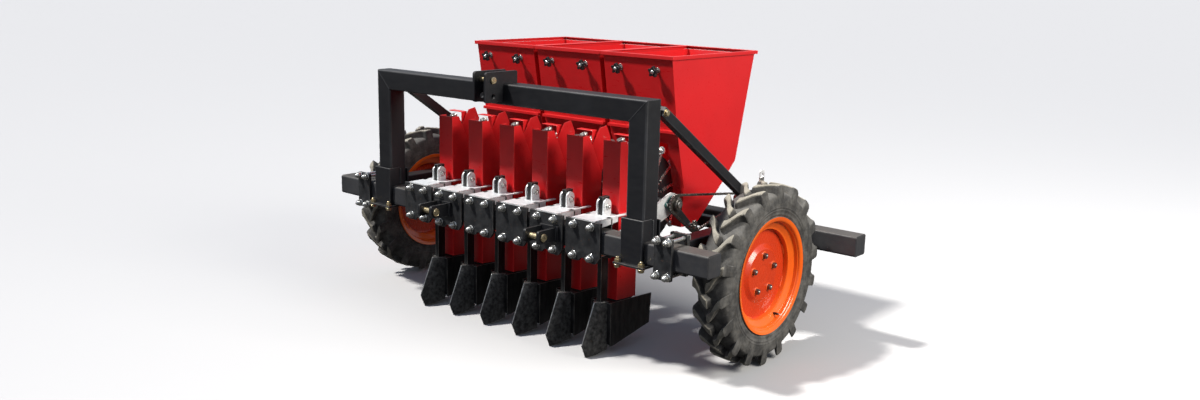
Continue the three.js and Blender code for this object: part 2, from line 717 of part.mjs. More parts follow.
piece(machine, "front_toolbar", toolbar(BAR_FRONT), LOOKS.black);
piece(machine, "rear_toolbar", toolbar(BAR_REAR), LOOKS.black);
piece(machine, "mast", mast(), LOOKS.black);
piece(machine, "top_link_bracket", topLinkBracket(), LOOKS.black);
piece(groupAt(0, ...TOP_PIN), "top_link_pin", headedPin(9.5, 13, 35), LOOKS.galvanised);
piece(machine, "hopper_crossbar", hopperCrossbar(), LOOKS.black);
piece(machine, "metering_shaft", meteringShaft(), LOOKS.steel);
piece(machine, "countershaft", countershaft(), LOOKS.steel);
piece(machine, "idler_sprocket", idlerSprocket(), LOOKS.steel);
const meterRounds = [
  [TEETH.meter, METER_AT],
  [TEETH.counterInner, COUNTER_AT],
  [TEETH.idler, IDLER_AT],
];
const wheelRounds = [
  [TEETH.wheel, AXLE_AT],
  [TEETH.counterOuter, COUNTER_AT],
];
piece(machine, "metering_chain", chain(meterRounds, METER_CHAIN_X), LOOKS.steel);
piece(machine, "wheel_chain", chain(wheelRounds, WHEEL_CHAIN_X), LOOKS.steel);

for (const [name, side] of SIDES) {
  const half = new THREE.Group();
  half.scale.x = side;
  machine.add(half);
  piece(half, `brace_${name}`, brace(), LOOKS.black);
  piece(half, `side_member_${name}`, sideMember(side), LOOKS.black);
  piece(half, `side_clamp_${name}`, sideClamp(), LOOKS.worn);
  piece(half, `bearing_bracket_${name}`, bearingBracket(side), LOOKS.galvanised);
  const spindle = new THREE.Group();
  spindle.position.set(WHEEL_X, AXLE.y, AXLE.z);
  half.add(spindle);
  piece(spindle, `wheel_${name}`, wheel(side), LOOKS.orange);
  piece(spindle, `tyre_${name}`, tyre(), LOOKS.rubber);
  const hitch = groupAt(side * LOWER_X, 0, 0);
  piece(hitch, `lower_hitch_${name}`, lowerHitch(), LOOKS.black);
  const pin = groupAt(side * LOWER_X, ...LOWER_PIN);
  piece(pin, `lower_hitch_pin_${name}`, headedPin(11, 15, 38), LOOKS.zinc);
}

["left", "middle", "right"].forEach((name, i) => {
  const middle = HOPPER_XS[i];
  const rows = ROW_XS.slice(2 * i, 2 * i + 2).map((x) => x - middle);
  piece(groupAt(middle, 0, 0), `hopper_${name}`, hopper(rows), LOOKS.red);
});

ROW_XS.forEach((x, i) => {
  const unit = groupAt(x, 0, 0);
  const name = `row_${i + 1}`;
  piece(unit, `${name}_clamp`, rowClamp(), LOOKS.worn);
  piece(unit, `${name}_opener`, opener(), LOOKS.worn);
  piece(unit, `${name}_chute`, chute(), LOOKS.red);
  piece(groupAt(x, METER.y, METER.z), `${name}_cup_wheel`, cupWheel(), LOOKS.galvanised);
  const knobMesh = piece(groupAt(x, KNOB_Y, KNOB_Z), `${name}_knob`, knob(), LOOKS.plastic);
  knobMesh.rotation.x = WALL_LEAN;
});

export default machine;
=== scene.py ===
"""Looks for a six-row garlic planter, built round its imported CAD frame.

Every CAD node is replaced by a detailed piece that rides on the same body. Shapes are made in
millimetres in the machine's own layout: x across, y back from the front face of the front toolbar,
and z up from the ground. TO_FRAME then turns them into the frame's metres.
"""

import json
import math
import random

import bmesh
import bpy
from mathutils import Matrix, Vector


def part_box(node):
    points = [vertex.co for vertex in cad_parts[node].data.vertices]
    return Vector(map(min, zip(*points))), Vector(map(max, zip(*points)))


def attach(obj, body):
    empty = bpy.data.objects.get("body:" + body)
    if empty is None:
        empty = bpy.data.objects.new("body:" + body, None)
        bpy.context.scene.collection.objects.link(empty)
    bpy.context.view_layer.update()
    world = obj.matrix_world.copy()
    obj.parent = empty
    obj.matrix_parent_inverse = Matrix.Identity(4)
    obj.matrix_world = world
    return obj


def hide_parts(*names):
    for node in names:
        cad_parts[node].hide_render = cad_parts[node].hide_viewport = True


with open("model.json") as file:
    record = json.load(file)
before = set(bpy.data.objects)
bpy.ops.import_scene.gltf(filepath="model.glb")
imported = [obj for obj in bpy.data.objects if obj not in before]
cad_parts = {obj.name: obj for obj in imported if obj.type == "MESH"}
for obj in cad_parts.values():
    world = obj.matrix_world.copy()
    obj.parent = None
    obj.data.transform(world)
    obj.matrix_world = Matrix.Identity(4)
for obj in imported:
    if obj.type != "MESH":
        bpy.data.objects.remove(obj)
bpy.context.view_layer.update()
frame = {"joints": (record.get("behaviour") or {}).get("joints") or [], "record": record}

# ---- Places read from the frame ----

MM = 0.001
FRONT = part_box("front_toolbar")[0].y
TO_FRAME = Matrix.Translation((0, FRONT, 0)) @ Matrix.Diagonal((MM, MM, MM, 1))
BODY_OF = {
    node: body for body, nodes in frame["record"]["behaviour"]["bodies"].items() for node in nodes
}
JOINTS = {joint["name"]: joint for joint in frame["joints"]}
SIDES = (("left", 1), ("right", -1))
ROWS = range(1, 7)


def span(node):
    """A CAD node's lowest and highest corners, in layout millimetres."""
    low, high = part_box(node)
    shift = Vector((0, FRONT, 0))
    return (low - shift) / MM, (high - shift) / MM


def middle(node):
    """The middle of a CAD node's box, in layout millimetres."""
    low, high = span(node)
    return (low + high) / 2


BAR_LOW, BAR_HIGH = span("front_toolbar")
TUBE = BAR_HIGH.y - BAR_LOW.y
GAP = 0.3
PLATE = 12
MAST_OUTER = 715
SIDE_TOP = 495
CUP_REACH = 196
STUD_CIRCLE = 139.7
METER = middle("row_1_cup_wheel").yz
COUNTER = middle("countershaft").yz
IDLER = middle("idler_sprocket").yz
AXLE = middle("tyre_left").yz
WHEEL_X = middle("tyre_left").x
ROW_X = {row: middle(f"row_{row}_opener").x for row in ROWS}

# ---- Shells: closed meshes in layout millimetres ----

WELD = 1e-3
SHARP = math.radians(24)
SMOOTH = math.radians(40)


def turned(axis, a, b, c):
    """The point at c along the axis, and at a and b along the other two."""
    return {"x": (c, a, b), "y": (a, c, b), "z": (a, b, c)}[axis]


def loft(rings, looped=False):
    """A skin over rings of points, with a cap at each end unless it is looped."""
    shell = bmesh.new()
    loops = [[shell.verts.new(point) for point in ring] for ring in rings]
    pairs = list(zip(loops, loops[1:]))
    if looped:
        pairs.append((loops[-1], loops[0]))
    else:
        shell.faces.new(loops[0])
        shell.faces.new(loops[-1])
    for one, two in pairs:
        for i, corner in enumerate(one):
            shell.faces.new((corner, one[i - 1], two[i - 1], two[i]))
    bmesh.ops.remove_doubles(shell, verts=shell.verts, dist=WELD)
    bmesh.ops.recalc_face_normals(shell, faces=shell.faces)
    return shell


def prism(axis, outline, start, end):
    """A prism along an axis, from an outline in the other two axes."""
    return loft([[turned(axis, a, b, c) for a, b in outline] for c in (start, end)])


def block(low, high):
    """The box between two corners."""
    return prism("z", rectangle(low[:2], high[:2]), low[2], high[2])


def rectangle(low, high):
    return [(low[0], low[1]), (high[0], low[1]), (high[0], high[1]), (low[0], high[1])]


def arc(centre, radius, start, end, steps):
    """Points on an arc, with its angles in degrees."""
    angles = [math.radians(start + (end - start) * i / steps) for i in range(steps + 1)]
    return [(centre[0] + radius * math.cos(a), centre[1] + radius * math.sin(a)) for a in angles]


def rounded(low, high, radius, steps=4):
    """A rectangle with rounded corners."""
    corners = (
        (high[0] - radius, low[1] + radius, -90),
        (high[0] - radius, high[1] - radius, 0),
        (low[0] + radius, high[1] - radius, 90),
        (low[0] + radius, low[1] + radius, 180),
    )
    return [point for a, b, at in corners for point in arc((a, b), radius, at, at + 90, steps)]


def lathe(axis, profile, centre=(0, 0), steps=32):
    """A solid of revolution from a closed outline in (along the axis, radius)."""
    rings = []
    for k in range(steps):
        a, b = math.cos(math.tau * k / steps), math.sin(math.tau * k / steps)
        rings.append([turned(axis, centre[0] + r * a, centre[1] + r * b, c) for c, r in profile])
    return loft(rings, looped=True)


def rod(axis, radius, start, end, centre=(0, 0), steps=20, chamfer=1.0):
    """A round bar with chamfered ends."""
    low, high = sorted((start, end))
    profile = [
        (low, 0), (low, radius - chamfer), (low + chamfer, radius),
        (high - chamfer, radius), (high, radius - chamfer), (high, 0),
    ]
    return lathe(axis, profile, centre, steps)


def ring(axis, inner, outer, start, end, centre=(0, 0), steps=24, chamfer=0.4):
    """A washer, collar or tube."""
    low, high = sorted((start, end))
    profile = [
        (low, inner), (low, outer - chamfer), (low + chamfer, outer),
        (high - chamfer, outer), (high, outer - chamfer), (high, inner),
    ]
    return lathe(axis, profile, centre, steps)


def hexagon(axis, flats, seat, end, centre=(0, 0)):
    """A hexagon nut or bolt head from its seat to its chamfered end."""
    inscribed, steps = flats / 2, 24
    away = math.copysign(1, end - seat)
    rings = [[], [], []]
    for k in range(steps):
        angle = math.tau * k / steps
        folded = (angle + math.pi / 6) % (math.pi / 3) - math.pi / 6
        corner = inscribed / math.cos(folded)
        drop = (corner - 0.93 * inscribed) * math.tan(math.radians(28))
        reach = ((seat, corner), (end - away * drop, corner), (end, 0.93 * inscribed))
        for loop, (along, radius) in zip(rings, reach):
            a, b = centre[0] + radius * math.cos(angle), centre[1] + radius * math.sin(angle)
            loop.append(turned(axis, a, b, along))
    return loft(rings)


def dome(axis, radius, start, end, centre=(0, 0), steps=16):
    """A stud's end: a short bar that finishes in a dome."""
    away = math.copysign(1, end - start)
    crown = [
        (end - away * radius * 0.55 * (1 - math.sin(t)), radius * math.cos(t))
        for t in (math.radians(18 * i) for i in range(6))
    ]
    return lathe(axis, [(start, 0), (start, radius), *crown], centre, steps)


def hull(points):
    """The convex shell round some points."""
    shell = bmesh.new()
    for point in points:
        shell.verts.new(point)
    bmesh.ops.convex_hull(shell, input=shell.verts)
    loose = [v for v in shell.verts if not v.link_faces]
    bmesh.ops.delete(shell, geom=loose, context="VERTS")
    bmesh.ops.dissolve_limit(
        shell, angle_limit=math.radians(1), verts=shell.verts, edges=shell.edges
    )
    bmesh.ops.recalc_face_normals(shell, faces=shell.faces)
    return shell


def sweep(path, radii, sides=8, looped=False):
    """A round bar along a path, with one radius for each of its points."""
    path = [Vector(point) for point in path]
    rings, last = [], None
    for i, point in enumerate(path):
        before = path[i - 1] if looped or i else point
        after = path[(i + 1) % len(path)] if looped or i + 1 < len(path) else point
        along = (after - before).normalized()
        if last is None:
            last = along.orthogonal()
        out = (last - along * last.dot(along)).normalized()
        last, side = out, along.cross(out)
        turns = [math.tau * k / sides for k in range(sides)]
        rings.append([point + radii[i] * (math.cos(t) * out + math.sin(t) * side) for t in turns])
    return loft(rings, looped)


def softened(shell, offset, steps=2, along=None):
    """Rounds a shell's sharp edges, or only those along one axis, and tags the new faces."""
    def chosen(edge):
        if len(edge.link_faces) != 2 or edge.calc_face_angle(0) < SHARP:
            return False
        run = edge.verts[1].co - edge.verts[0].co
        return along is None or abs(run["xyz".index(along)]) > 0.9 * run.length

    edges = [edge for edge in shell.edges if chosen(edge)]
    made = bmesh.ops.bevel(
        shell, geom=edges, offset=offset, offset_type="OFFSET", segments=steps,
        profile=0.5, affect="EDGES", clamp_overlap=True,
    )
    for face in made["faces"]:
        face.material_index = 1
    return shell


def mirrored(side):
    """The matrix that keeps the left side (1) or mirrors it to the right (-1)."""
    return Matrix.Diagonal((side, 1, 1, 1))


def moved(shell, matrix):
    bmesh.ops.transform(shell, matrix=matrix, verts=shell.verts)
    return shell


dice = random.Random(7)


def bead(start, end, radius=3.2):
    """A weld bead: a lumpy half-buried bar between two points."""
    start, end = Vector(start), Vector(end)
    count = max(4, int((end - start).length / 2.6))
    path = [start.lerp(end, i / count) for i in range(count + 1)]
    radii = [
        radius * (1 + 0.13 * math.sin(i * 2.1) + dice.uniform(-0.07, 0.07))
        for i in range(count + 1)
    ]
    radii[0] = radii[-1] = radius * 0.5
    return sweep(path, radii, sides=7)


class Shape:
    """Shells gathered into one mesh. Each face keeps its own finish."""

    def __init__(self):
        self.mesh = bmesh.new()
        self.finishes = []

    def slot(self, finish):
        if finish not in self.finishes:
            self.finishes.append(finish)
        return self.finishes.index(finish)

    def add(self, finish, *shells, edge=None):
        """Takes in shells. Faces tagged by softened() get the edge finish."""
        whole, rim = self.slot(finish), self.slot(edge or finish)
        for shell in shells:
            for face in shell.faces:
                face.material_index = rim if face.material_index else whole
                face.smooth = True
            scratch = bpy.data.meshes.new("scratch")
            shell.to_mesh(scratch)
            self.mesh.from_mesh(scratch)
            bpy.data.meshes.remove(scratch)
            shell.free()

    def soft(self, finish, shell, offset, steps=2, along=None, edge=None):
        """Takes in a shell with rounded edges, in their own finish if one is given or usual."""
        self.add(finish, softened(shell, offset, steps, along), edge=edge or EDGE_OF.get(finish))

    def weld(self, start, end, radius=3.2):
        """Takes in a painted weld bead between two points, in the lighter black whose lightness is
        a painted highlight.
        """
        self.add(BLACK_WORN_HIGHLIGHT_EDGE, bead(start, end, radius))

    def place(self, node, slot, at=Matrix.Identity(4)):
        """Stands a copy of the shape for a CAD node, on that node's body."""
        mesh = bpy.data.meshes.new(f"{node}_visual")
        self.mesh.to_mesh(mesh)
        whole = TO_FRAME @ at
        mesh.transform(whole)
        if whole.determinant() < 0:
            mesh.flip_normals()
        mesh.set_sharp_from_angle(angle=SMOOTH)
        for finish in self.finishes:
            mesh.materials.append(finish)
        piece = bpy.data.objects.new(f"{node}_visual", mesh)
        bpy.context.scene.collection.objects.link(piece)
        even = piece.modifiers.new("even_shading", "WEIGHTED_NORMAL")
        even.keep_sharp = True
        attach(piece, BODY_OF[node])
        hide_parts(node)
        return piece


# ---- Finishes ----


class Recipe:
    """A node material under construction."""

    def __init__(self, name):
        self.material = bpy.data.materials.new(name)
        self.material.use_nodes = True
        self.tree = self.material.node_tree
        self.tree.nodes.clear()
        self.coords = self.add("ShaderNodeTexCoord").outputs["Object"]
        self.shader = self.add("ShaderNodeBsdfPrincipled")
        output = self.add("ShaderNodeOutputMaterial")
        self.tree.links.new(self.shader.outputs[0], output.inputs["Surface"])

    def put(self, socket, value):
        if isinstance(value, bpy.types.NodeSocket):
            self.tree.links.new(value, socket)
        else:
            socket.default_value = value

    def add(self, kind, settings=None, **inputs):
        node = self.tree.nodes.new(kind)
        for key, value in (settings or {}).items():
            setattr(node, key, value)
        for key, value in inputs.items():
            self.put(node.inputs[key.replace("_", " ")], value)
        return node

    def noise(self, scale, detail=3.0, stretch=(1, 1, 1), rough=0.55):
        """Noise from 0 to 1. The scale is in features for each metre."""
        place = self.add("ShaderNodeMapping", Vector=self.coords, Scale=stretch)
        made = self.add(
            "ShaderNodeTexNoise", Vector=place.outputs[0], Scale=scale, Detail=detail,
            Roughness=rough,
        )
        return made.outputs[0]

    def ranged(self, value, low, high, to_low=0.0, to_high=1.0):
        """A value's stretch from low to high, spread over another stretch and held there."""
        made = self.add("ShaderNodeMapRange", Value=value)
        limits = {"From Min": low, "From Max": high, "To Min": to_low, "To Max": to_high}
        for key, number in limits.items():
            made.inputs[key].default_value = number
        return made.outputs[0]

    def maths(self, operation, a, b):
        made = self.add("ShaderNodeMath", {"operation": operation})
        self.put(made.inputs[0], a)
        self.put(made.inputs[1], b)
        return made.outputs[0]

    def mix(self, share, a, b):
        """A colour or number between a and b."""
        colour = isinstance(b, tuple)
        made = self.add("ShaderNodeMix", {"data_type": "RGBA" if colour else "FLOAT"})
        first = 6 if colour else 2
        self.put(made.inputs[0], share)
        self.put(made.inputs[first], rgba(a) if isinstance(a, tuple) else a)
        self.put(made.inputs[first + 1], rgba(b) if colour else b)
        return made.outputs[2 if colour else 0]

    def facing_up(self):
        """How far a surface faces upwards, from 0 to 1."""
        normal = self.add("ShaderNodeNewGeometry").outputs["Normal"]
        height = self.add("ShaderNodeSeparateXYZ", Vector=normal).outputs["Z"]
        return self.ranged(height, 0.25, 0.95)

    def bumps(self, *layers):
        """Bump maps, each a height from 0 to 1 and its depth in metres, one over another."""
        normal = None
        for height, depth in layers:
            made = self.add("ShaderNodeBump", Height=height, Distance=depth)
            if normal is not None:
                self.put(made.inputs["Normal"], normal)
            normal = made.outputs[0]
        self.put(self.shader.inputs["Normal"], normal)

    def finish(self, colour, roughness, metallic=0.0, coat=0.0, specular=0.5):
        self.put(self.shader.inputs["Base Color"], colour)
        self.put(self.shader.inputs["Roughness"], roughness)
        self.put(self.shader.inputs["Metallic"], metallic)
        self.put(self.shader.inputs["Coat Weight"], coat)
        self.put(self.shader.inputs["Specular IOR Level"], specular)
        self.shader.inputs["Coat Roughness"].default_value = 0.12
        return self.material


def rgba(colour):
    return (*colour, 1.0)


DUST = (0.33, 0.28, 0.215)
STEEL = (0.34, 0.33, 0.31)


def paint(name, main, tired, roughness, dust, wear, coat=0.0, ripple=0.0004, specular=0.5):
    """Gloss paint: patchy colour, orange peel, fine scuffs, dust on upper faces and worn spots."""
    r = Recipe(name)
    patches = r.ranged(r.noise(5, 5), 0.35, 0.68)
    colour = r.mix(patches, main, tired)
    specks = r.ranged(r.noise(95, 6, rough=0.7), 0.74 - wear * 0.2, 0.79 - wear * 0.2)
    colour = r.mix(r.maths("MULTIPLY", specks, min(1.0, wear * 1.5)), colour, STEEL)
    film = r.maths("MULTIPLY", r.ranged(r.noise(26, 6, rough=0.65), 0.3, 0.75), dust)
    settled = r.maths("MULTIPLY", r.facing_up(), dust * 0.8)
    grime = r.maths("MINIMUM", r.maths("ADD", r.maths("MULTIPLY", film, 0.35), settled), 0.75)
    colour = r.mix(grime, colour, DUST)
    scuffs = r.noise(60, 5, stretch=(0.25, 4, 1), rough=0.75)
    rough = r.ranged(scuffs, 0.3, 0.75, roughness * 0.75, roughness * 1.5)
    rough = r.maths("MINIMUM", r.maths("ADD", rough, r.maths("MULTIPLY", grime, 0.7)), 0.95)
    r.bumps((r.noise(4, 2), ripple * 6), (r.noise(420, 2), ripple * 0.12))
    return r.finish(colour, rough, 0.0, coat, specular)


def metal(name, main, tired, roughness, rust=0.0, grain=(1, 1, 1), metallic=0.9, flecks=55):
    """Bare or plated metal: spangled or drawn grain, stains and rust in its pits."""
    r = Recipe(name)
    spangle = r.ranged(r.noise(flecks, 3, stretch=grain), 0.32, 0.68)
    colour = r.mix(spangle, main, tired)
    stain = r.ranged(r.noise(17, 6, rough=0.7), 0.5, 0.72)
    colour = r.mix(r.maths("MULTIPLY", stain, 0.35), colour, tuple(0.45 * c for c in tired))
    pits = r.ranged(r.noise(70, 6, rough=0.7), 0.62 - rust * 0.18, 0.7 - rust * 0.12)
    rusted = r.maths("MULTIPLY", pits, min(1.0, rust * 1.6))
    colour = r.mix(rusted, colour, (0.16, 0.066, 0.028))
    rough = r.ranged(r.noise(130, 4), 0.3, 0.75, roughness * 0.7, roughness * 1.4)
    rough = r.mix(rusted, rough, 0.85)
    r.bumps((r.noise(38, 4), 0.0007), (r.noise(350, 3, stretch=grain), 0.00012))
    shine = r.maths("SUBTRACT", metallic, r.maths("MULTIPLY", rusted, metallic * 0.8))
    return r.finish(colour, rough, shine)


def rubber(name, main, dusty, dust):
    """Used rubber: dust in patches and on upper faces, dried mud and small nicks."""
    r = Recipe(name)
    powder = r.ranged(r.noise(24, 7, rough=0.7), 0.62 - dust * 0.4, 0.86 - dust * 0.4)
    colour = r.mix(powder, main, dusty)
    mud = r.ranged(r.noise(90, 7, rough=0.75), 0.52, 0.68)
    colour = r.mix(r.maths("MULTIPLY", mud, 0.4), colour, (0.1, 0.08, 0.058))
    settled = r.maths("MULTIPLY", r.facing_up(), 0.45)
    colour = r.mix(settled, colour, tuple(min(1, 1.25 * c) for c in dusty))
    rough = r.ranged(r.noise(45, 4), 0.3, 0.7, 0.62, 0.92)
    r.bumps((r.noise(60, 6, rough=0.7), 0.0016), (r.noise(400, 3), 0.0004))
    return r.finish(colour, rough)


def plastic(name, main, roughness):
    r = Recipe(name)
    colour = r.mix(r.ranged(r.noise(150, 4), 0.4, 0.8), main, tuple(2.2 * c for c in main))
    rough = r.ranged(r.noise(240, 3), 0.3, 0.7, roughness * 0.8, roughness * 1.3)
    r.bumps((r.noise(900, 2), 0.00006))
    return r.finish(colour, rough)


BLACK = paint(
    "black_paint", (0.0075, 0.008, 0.0105), (0.011, 0.012, 0.015), 0.38, 0.035, 0.05, specular=0.38
)
BAR_BLACK = paint(
    "toolbar_paint", (0.02, 0.021, 0.025), (0.034, 0.036, 0.042), 0.46, 0.14, 0.35, specular=0.4
)
# Rounded edges and weld beads of the black paint: a lighter black that paints a highlight along
# them, with more worn spots showing steel.
BLACK_WORN_HIGHLIGHT_EDGE = paint(
    "black_paint_worn_highlight_edge", (0.016, 0.017, 0.02), (0.04, 0.042, 0.048), 0.35, 0.08, 0.3, specular=0.4
)
RED = paint(
    "red_paint", (0.6, 0.01, 0.013), (0.54, 0.009, 0.012), 0.32, 0.02, 0.0, coat=0.2, ripple=0.00012
)
# Rounded edges of the red paint: a brighter red that paints a highlight along them, with a few worn
# spots.
RED_WORN_HIGHLIGHT_EDGE = paint(
    "red_paint_worn_highlight_edge", (0.74, 0.022, 0.02), (0.68, 0.016, 0.016), 0.32, 0.04, 0.06, coat=0.2
)
# One orange paint in two tones: the disc's darker red-orange is painted shade, and the rim's
# lighter, yellower orange below is painted sunlight.
ORANGE = paint("orange_paint", (0.64, 0.05, 0.009), (0.55, 0.04, 0.008), 0.24, 0.03, 0.04, coat=0.3)
SUNLIT_RIM_ORANGE = paint("rim_orange_painted_sunlight", (0.92, 0.16, 0.012), (0.86, 0.12, 0.01), 0.2, 0.02, 0.02, coat=0.4)
# Rounded edges, washers and beads of the wheel paint: a lighter orange that paints a highlight on
# them, with worn spots.
ORANGE_WORN_HIGHLIGHT_EDGE = paint(
    "orange_paint_worn_highlight_edge", (0.84, 0.12, 0.018), (0.78, 0.09, 0.014), 0.3, 0.05, 0.2, coat=0.3
)
GREEN = paint("green_paint", (0.02, 0.13, 0.12), (0.035, 0.16, 0.15), 0.38, 0.08, 0.2)
GALVANISED = metal("galvanised", (0.8, 0.81, 0.82), (0.66, 0.68, 0.7), 0.45, metallic=0.3)
ZINC = metal("bright_zinc", (0.8, 0.8, 0.77), (0.6, 0.6, 0.58), 0.24, rust=0.15, flecks=120)
YELLOW_ZINC = metal(
    "yellow_zinc", (0.78, 0.64, 0.36), (0.66, 0.56, 0.38), 0.28, rust=0.1, flecks=90
)
BARE = metal("bare_steel", (0.5, 0.49, 0.47), (0.34, 0.33, 0.32), 0.34, rust=0.3, grain=(0.1, 1, 1))
OILED = metal("chain_steel", (0.26, 0.25, 0.23), (0.1, 0.095, 0.085), 0.38, rust=0.25, flecks=140)
PLATES = metal(
    "worn_steel", (0.058, 0.06, 0.064), (0.022, 0.023, 0.026), 0.42, rust=0.2,
    metallic=0.5, flecks=22,
)
PLATES_EDGE = metal("worn_steel_edge", (0.3, 0.295, 0.285), (0.17, 0.168, 0.16), 0.4, rust=0.3)
SOIL_WORN = metal(
    "soil_worn_steel", (0.042, 0.042, 0.043), (0.009, 0.009, 0.01), 0.42, rust=0.1,
    grain=(1, 1, 0.25), metallic=0.5, flecks=60,
)
SOIL_NOSE = metal(
    "soil_nose", (0.13, 0.13, 0.127), (0.022, 0.022, 0.022), 0.5, rust=0.12,
    metallic=0.45, flecks=75,
)
SOIL_EDGE = metal("soil_worn_edge", (0.5, 0.5, 0.49), (0.2, 0.2, 0.195), 0.32, rust=0.1)
RUBBER = rubber("tyre_rubber", (0.036, 0.035, 0.034), (0.12, 0.116, 0.108), 0.5)
TREAD = rubber("tyre_tread", (0.12, 0.11, 0.094), (0.28, 0.26, 0.215), 0.7)
KNOB = plastic("knob_plastic", (0.011, 0.011, 0.012), 0.33)

# The finish that a finish usually has where its edges are rounded. For the paints it is a lighter
# copy that paints a highlight along the edges, with worn spots; for the worn steels it is brighter,
# worn metal.
EDGE_OF = {
    BLACK: BLACK_WORN_HIGHLIGHT_EDGE, BAR_BLACK: BLACK_WORN_HIGHLIGHT_EDGE, RED: RED_WORN_HIGHLIGHT_EDGE,
    PLATES: PLATES_EDGE, SOIL_WORN: PLATES_EDGE, SOIL_NOSE: SOIL_EDGE,
}

# ---- Fasteners ----


def clamp_bolt(shape, x, z, front, back):
    """A long stud through two clamp plates: washer, nut and domed end in front, a head behind."""
    at = (x, z)
    tilt = dice.uniform(0, 0.6)
    shape.add(ZINC, ring("y", 8, 15, front, front - 2.5, at))
    nut = hexagon("y", 24, front - 2.5, front - 14, (0, 0))
    turn = Matrix.Rotation(tilt, 4, "Y")
    shape.add(ZINC, moved(nut, Matrix.Translation((x, 0, z)) @ turn))
    shape.add(ZINC, dome("y", 7.6, front - 13, front - 27, at))
    for k in range(4):
        seat = front - 15.5 - 2.2 * k
        shape.add(ZINC, ring("y", 7, 8.3, seat, seat - 1.2, at, 16, 0.5))
    shape.add(ZINC, ring("y", 8, 14, back, back + 2.2, at))
    shape.add(ZINC, hexagon("y", 24, back + 2.2, back + 10, at))


def small_bolt(shape, axis, centre, seat, away, flats=17, finish=ZINC):
    """A washer and bolt head on a surface, facing away along the axis."""
    shape.add(finish, ring(axis, flats * 0.3, flats * 0.68, seat, seat + 1.8 * away, centre, 20))
    shape.add(finish, hexagon(axis, flats, seat + 1.8 * away, seat + flats * 0.55 * away, centre))


# ---- Frame ----


def toolbar(node):
    """A rounded square tube with a plate welded into each end."""
    low, high = span(node)
    shape = Shape()
    outline = rounded(low.yz, high.yz, 9, 5)
    shape.soft(BAR_BLACK, prism("x", outline, low.x + 1, high.x - 1), 0.8, 1)
    for end, away in ((low.x, -1), (high.x, 1)):
        lid = rounded((low.y + 4, low.z + 4), (high.y - 4, high.z - 4), 7)
        shape.soft(BAR_BLACK, prism("x", lid, end - 3 * away, end), 0.6, 1)
    shape.place(node, "black_paint")


def mast():
    """The inverted U with its mitred corners, feet, bolts and brace lugs."""
    low, high = span("mast")
    top, outer = high.z, MAST_OUTER
    inner, foot = outer - TUBE, BAR_HIGH.z + GAP
    shape = Shape()
    beam = [(-outer, top), (-inner, top - TUBE), (inner, top - TUBE), (outer, top)]
    shape.soft(BLACK, prism("y", beam, 0, TUBE), 7, 4, along="x")
    for side in (1, -1):
        leg = ((outer, foot), (outer, top), (inner, top - TUBE), (inner, foot))
        post = [(side * x, z) for x, z in leg]
        shape.soft(BLACK, prism("y", post, 0, TUBE), 7, 4, along="z")
        for y in (1.5, TUBE - 1.5):
            run = ((side * (outer - 5), y, top - 5), (side * (inner + 1), y, top - TUBE + 1))
            shape.weld(*run, radius=2.6)
        x, z = side * (outer - 2), top - 2
        shape.weld((x, 6, z), (x, TUBE - 6, z), 2.6)
        mast_foot(shape, side, (inner + outer) / 2, foot, low.z)
    shape.place("mast", "black_paint")


def mast_foot(shape, side, centre, foot, lowest):
    """A folded channel in front of the post, a strip behind it, and the bolted plate below."""
    def box(x, y, z):
        xs = sorted((side * (centre + x[0]), side * (centre + x[1])))
        return block((xs[0], y[0], z[0]), (xs[1], y[1], z[1]))

    under = BAR_LOW.z - GAP
    shape.soft(BLACK, box((-48, 48), (-16, -8), (under - 1, 570)), 3.5, 3)
    for edge in ((-48, -41), (41, 48)):
        shape.soft(BLACK, box(edge, (-13, 40), (foot, 570)), 2.5, 2)
        shape.soft(BLACK, box(edge, (-13, -GAP), (under - 1, foot + 4)), 2, 2)
    shape.soft(BLACK, box((-48, 48), (TUBE + GAP, TUBE + 8), (under - 1, 560)), 2)
    for x in (-49, 49):
        seam = ((side * (centre + x), 42, foot + 6), (side * (centre + x), 42, 566))
        shape.weld(*seam)
    sole = box((-64, 68), (-35, 105), (under - 8, under))
    shape.soft(PLATES, sole, 1.5)
    for x in (-50, 54):
        for y in (-25, 96):
            at = (side * (centre + x), y)
            shape.add(YELLOW_ZINC, ring("z", 8, 14, under - 8, under - 10.4, at))
            shape.add(YELLOW_ZINC, hexagon("z", 20, under - 10.4, lowest, at))
            shape.add(YELLOW_ZINC, hexagon("z", 20, under, under + 11, at))
            shape.add(YELLOW_ZINC, dome("z", 6.5, under + 10, under + 20, at))
    lug = [(79, 895), (116, 902), (126, 912), (126, 946), (116, 956), (79, 965)]
    reach = sorted((side * (centre - 10), side * (centre + 9.7)))
    shape.soft(BLACK, prism("x", lug, *reach), 1.5)
    shape.weld((reach[0], TUBE, 897), (reach[1], TUBE, 897))


BRACE_ENDS = (Vector((106, 930)), Vector((752, 497)))


def brace():
    """The left brace: a square tube with a lapped bolt at each end."""
    top, low = BRACE_ENDS
    run = (low - top).normalized()
    off = Vector((-run.y, run.x))
    x0, x1 = MAST_OUTER - 30, MAST_OUTER
    outline = [
        top - run * 12 - off * 19, low + run * 12 - off * 19,
        low + run * 12 + off * 19, top - run * 12 + off * 19,
    ]
    shape = Shape()
    shape.soft(BLACK, prism("x", outline, x0, x1), 4, 3)
    small_bolt(shape, "x", top, x1, 1, 19, YELLOW_ZINC)
    shape.add(ZINC, rod("x", 6, x0 - 26, x0 + 2, top, 14))
    small_bolt(shape, "x", low, x1 + 10.4, 1, 19, YELLOW_ZINC)
    shape.add(ZINC, rod("x", 6, x1 - 2, x1 + 12, low, 14))
    return shape


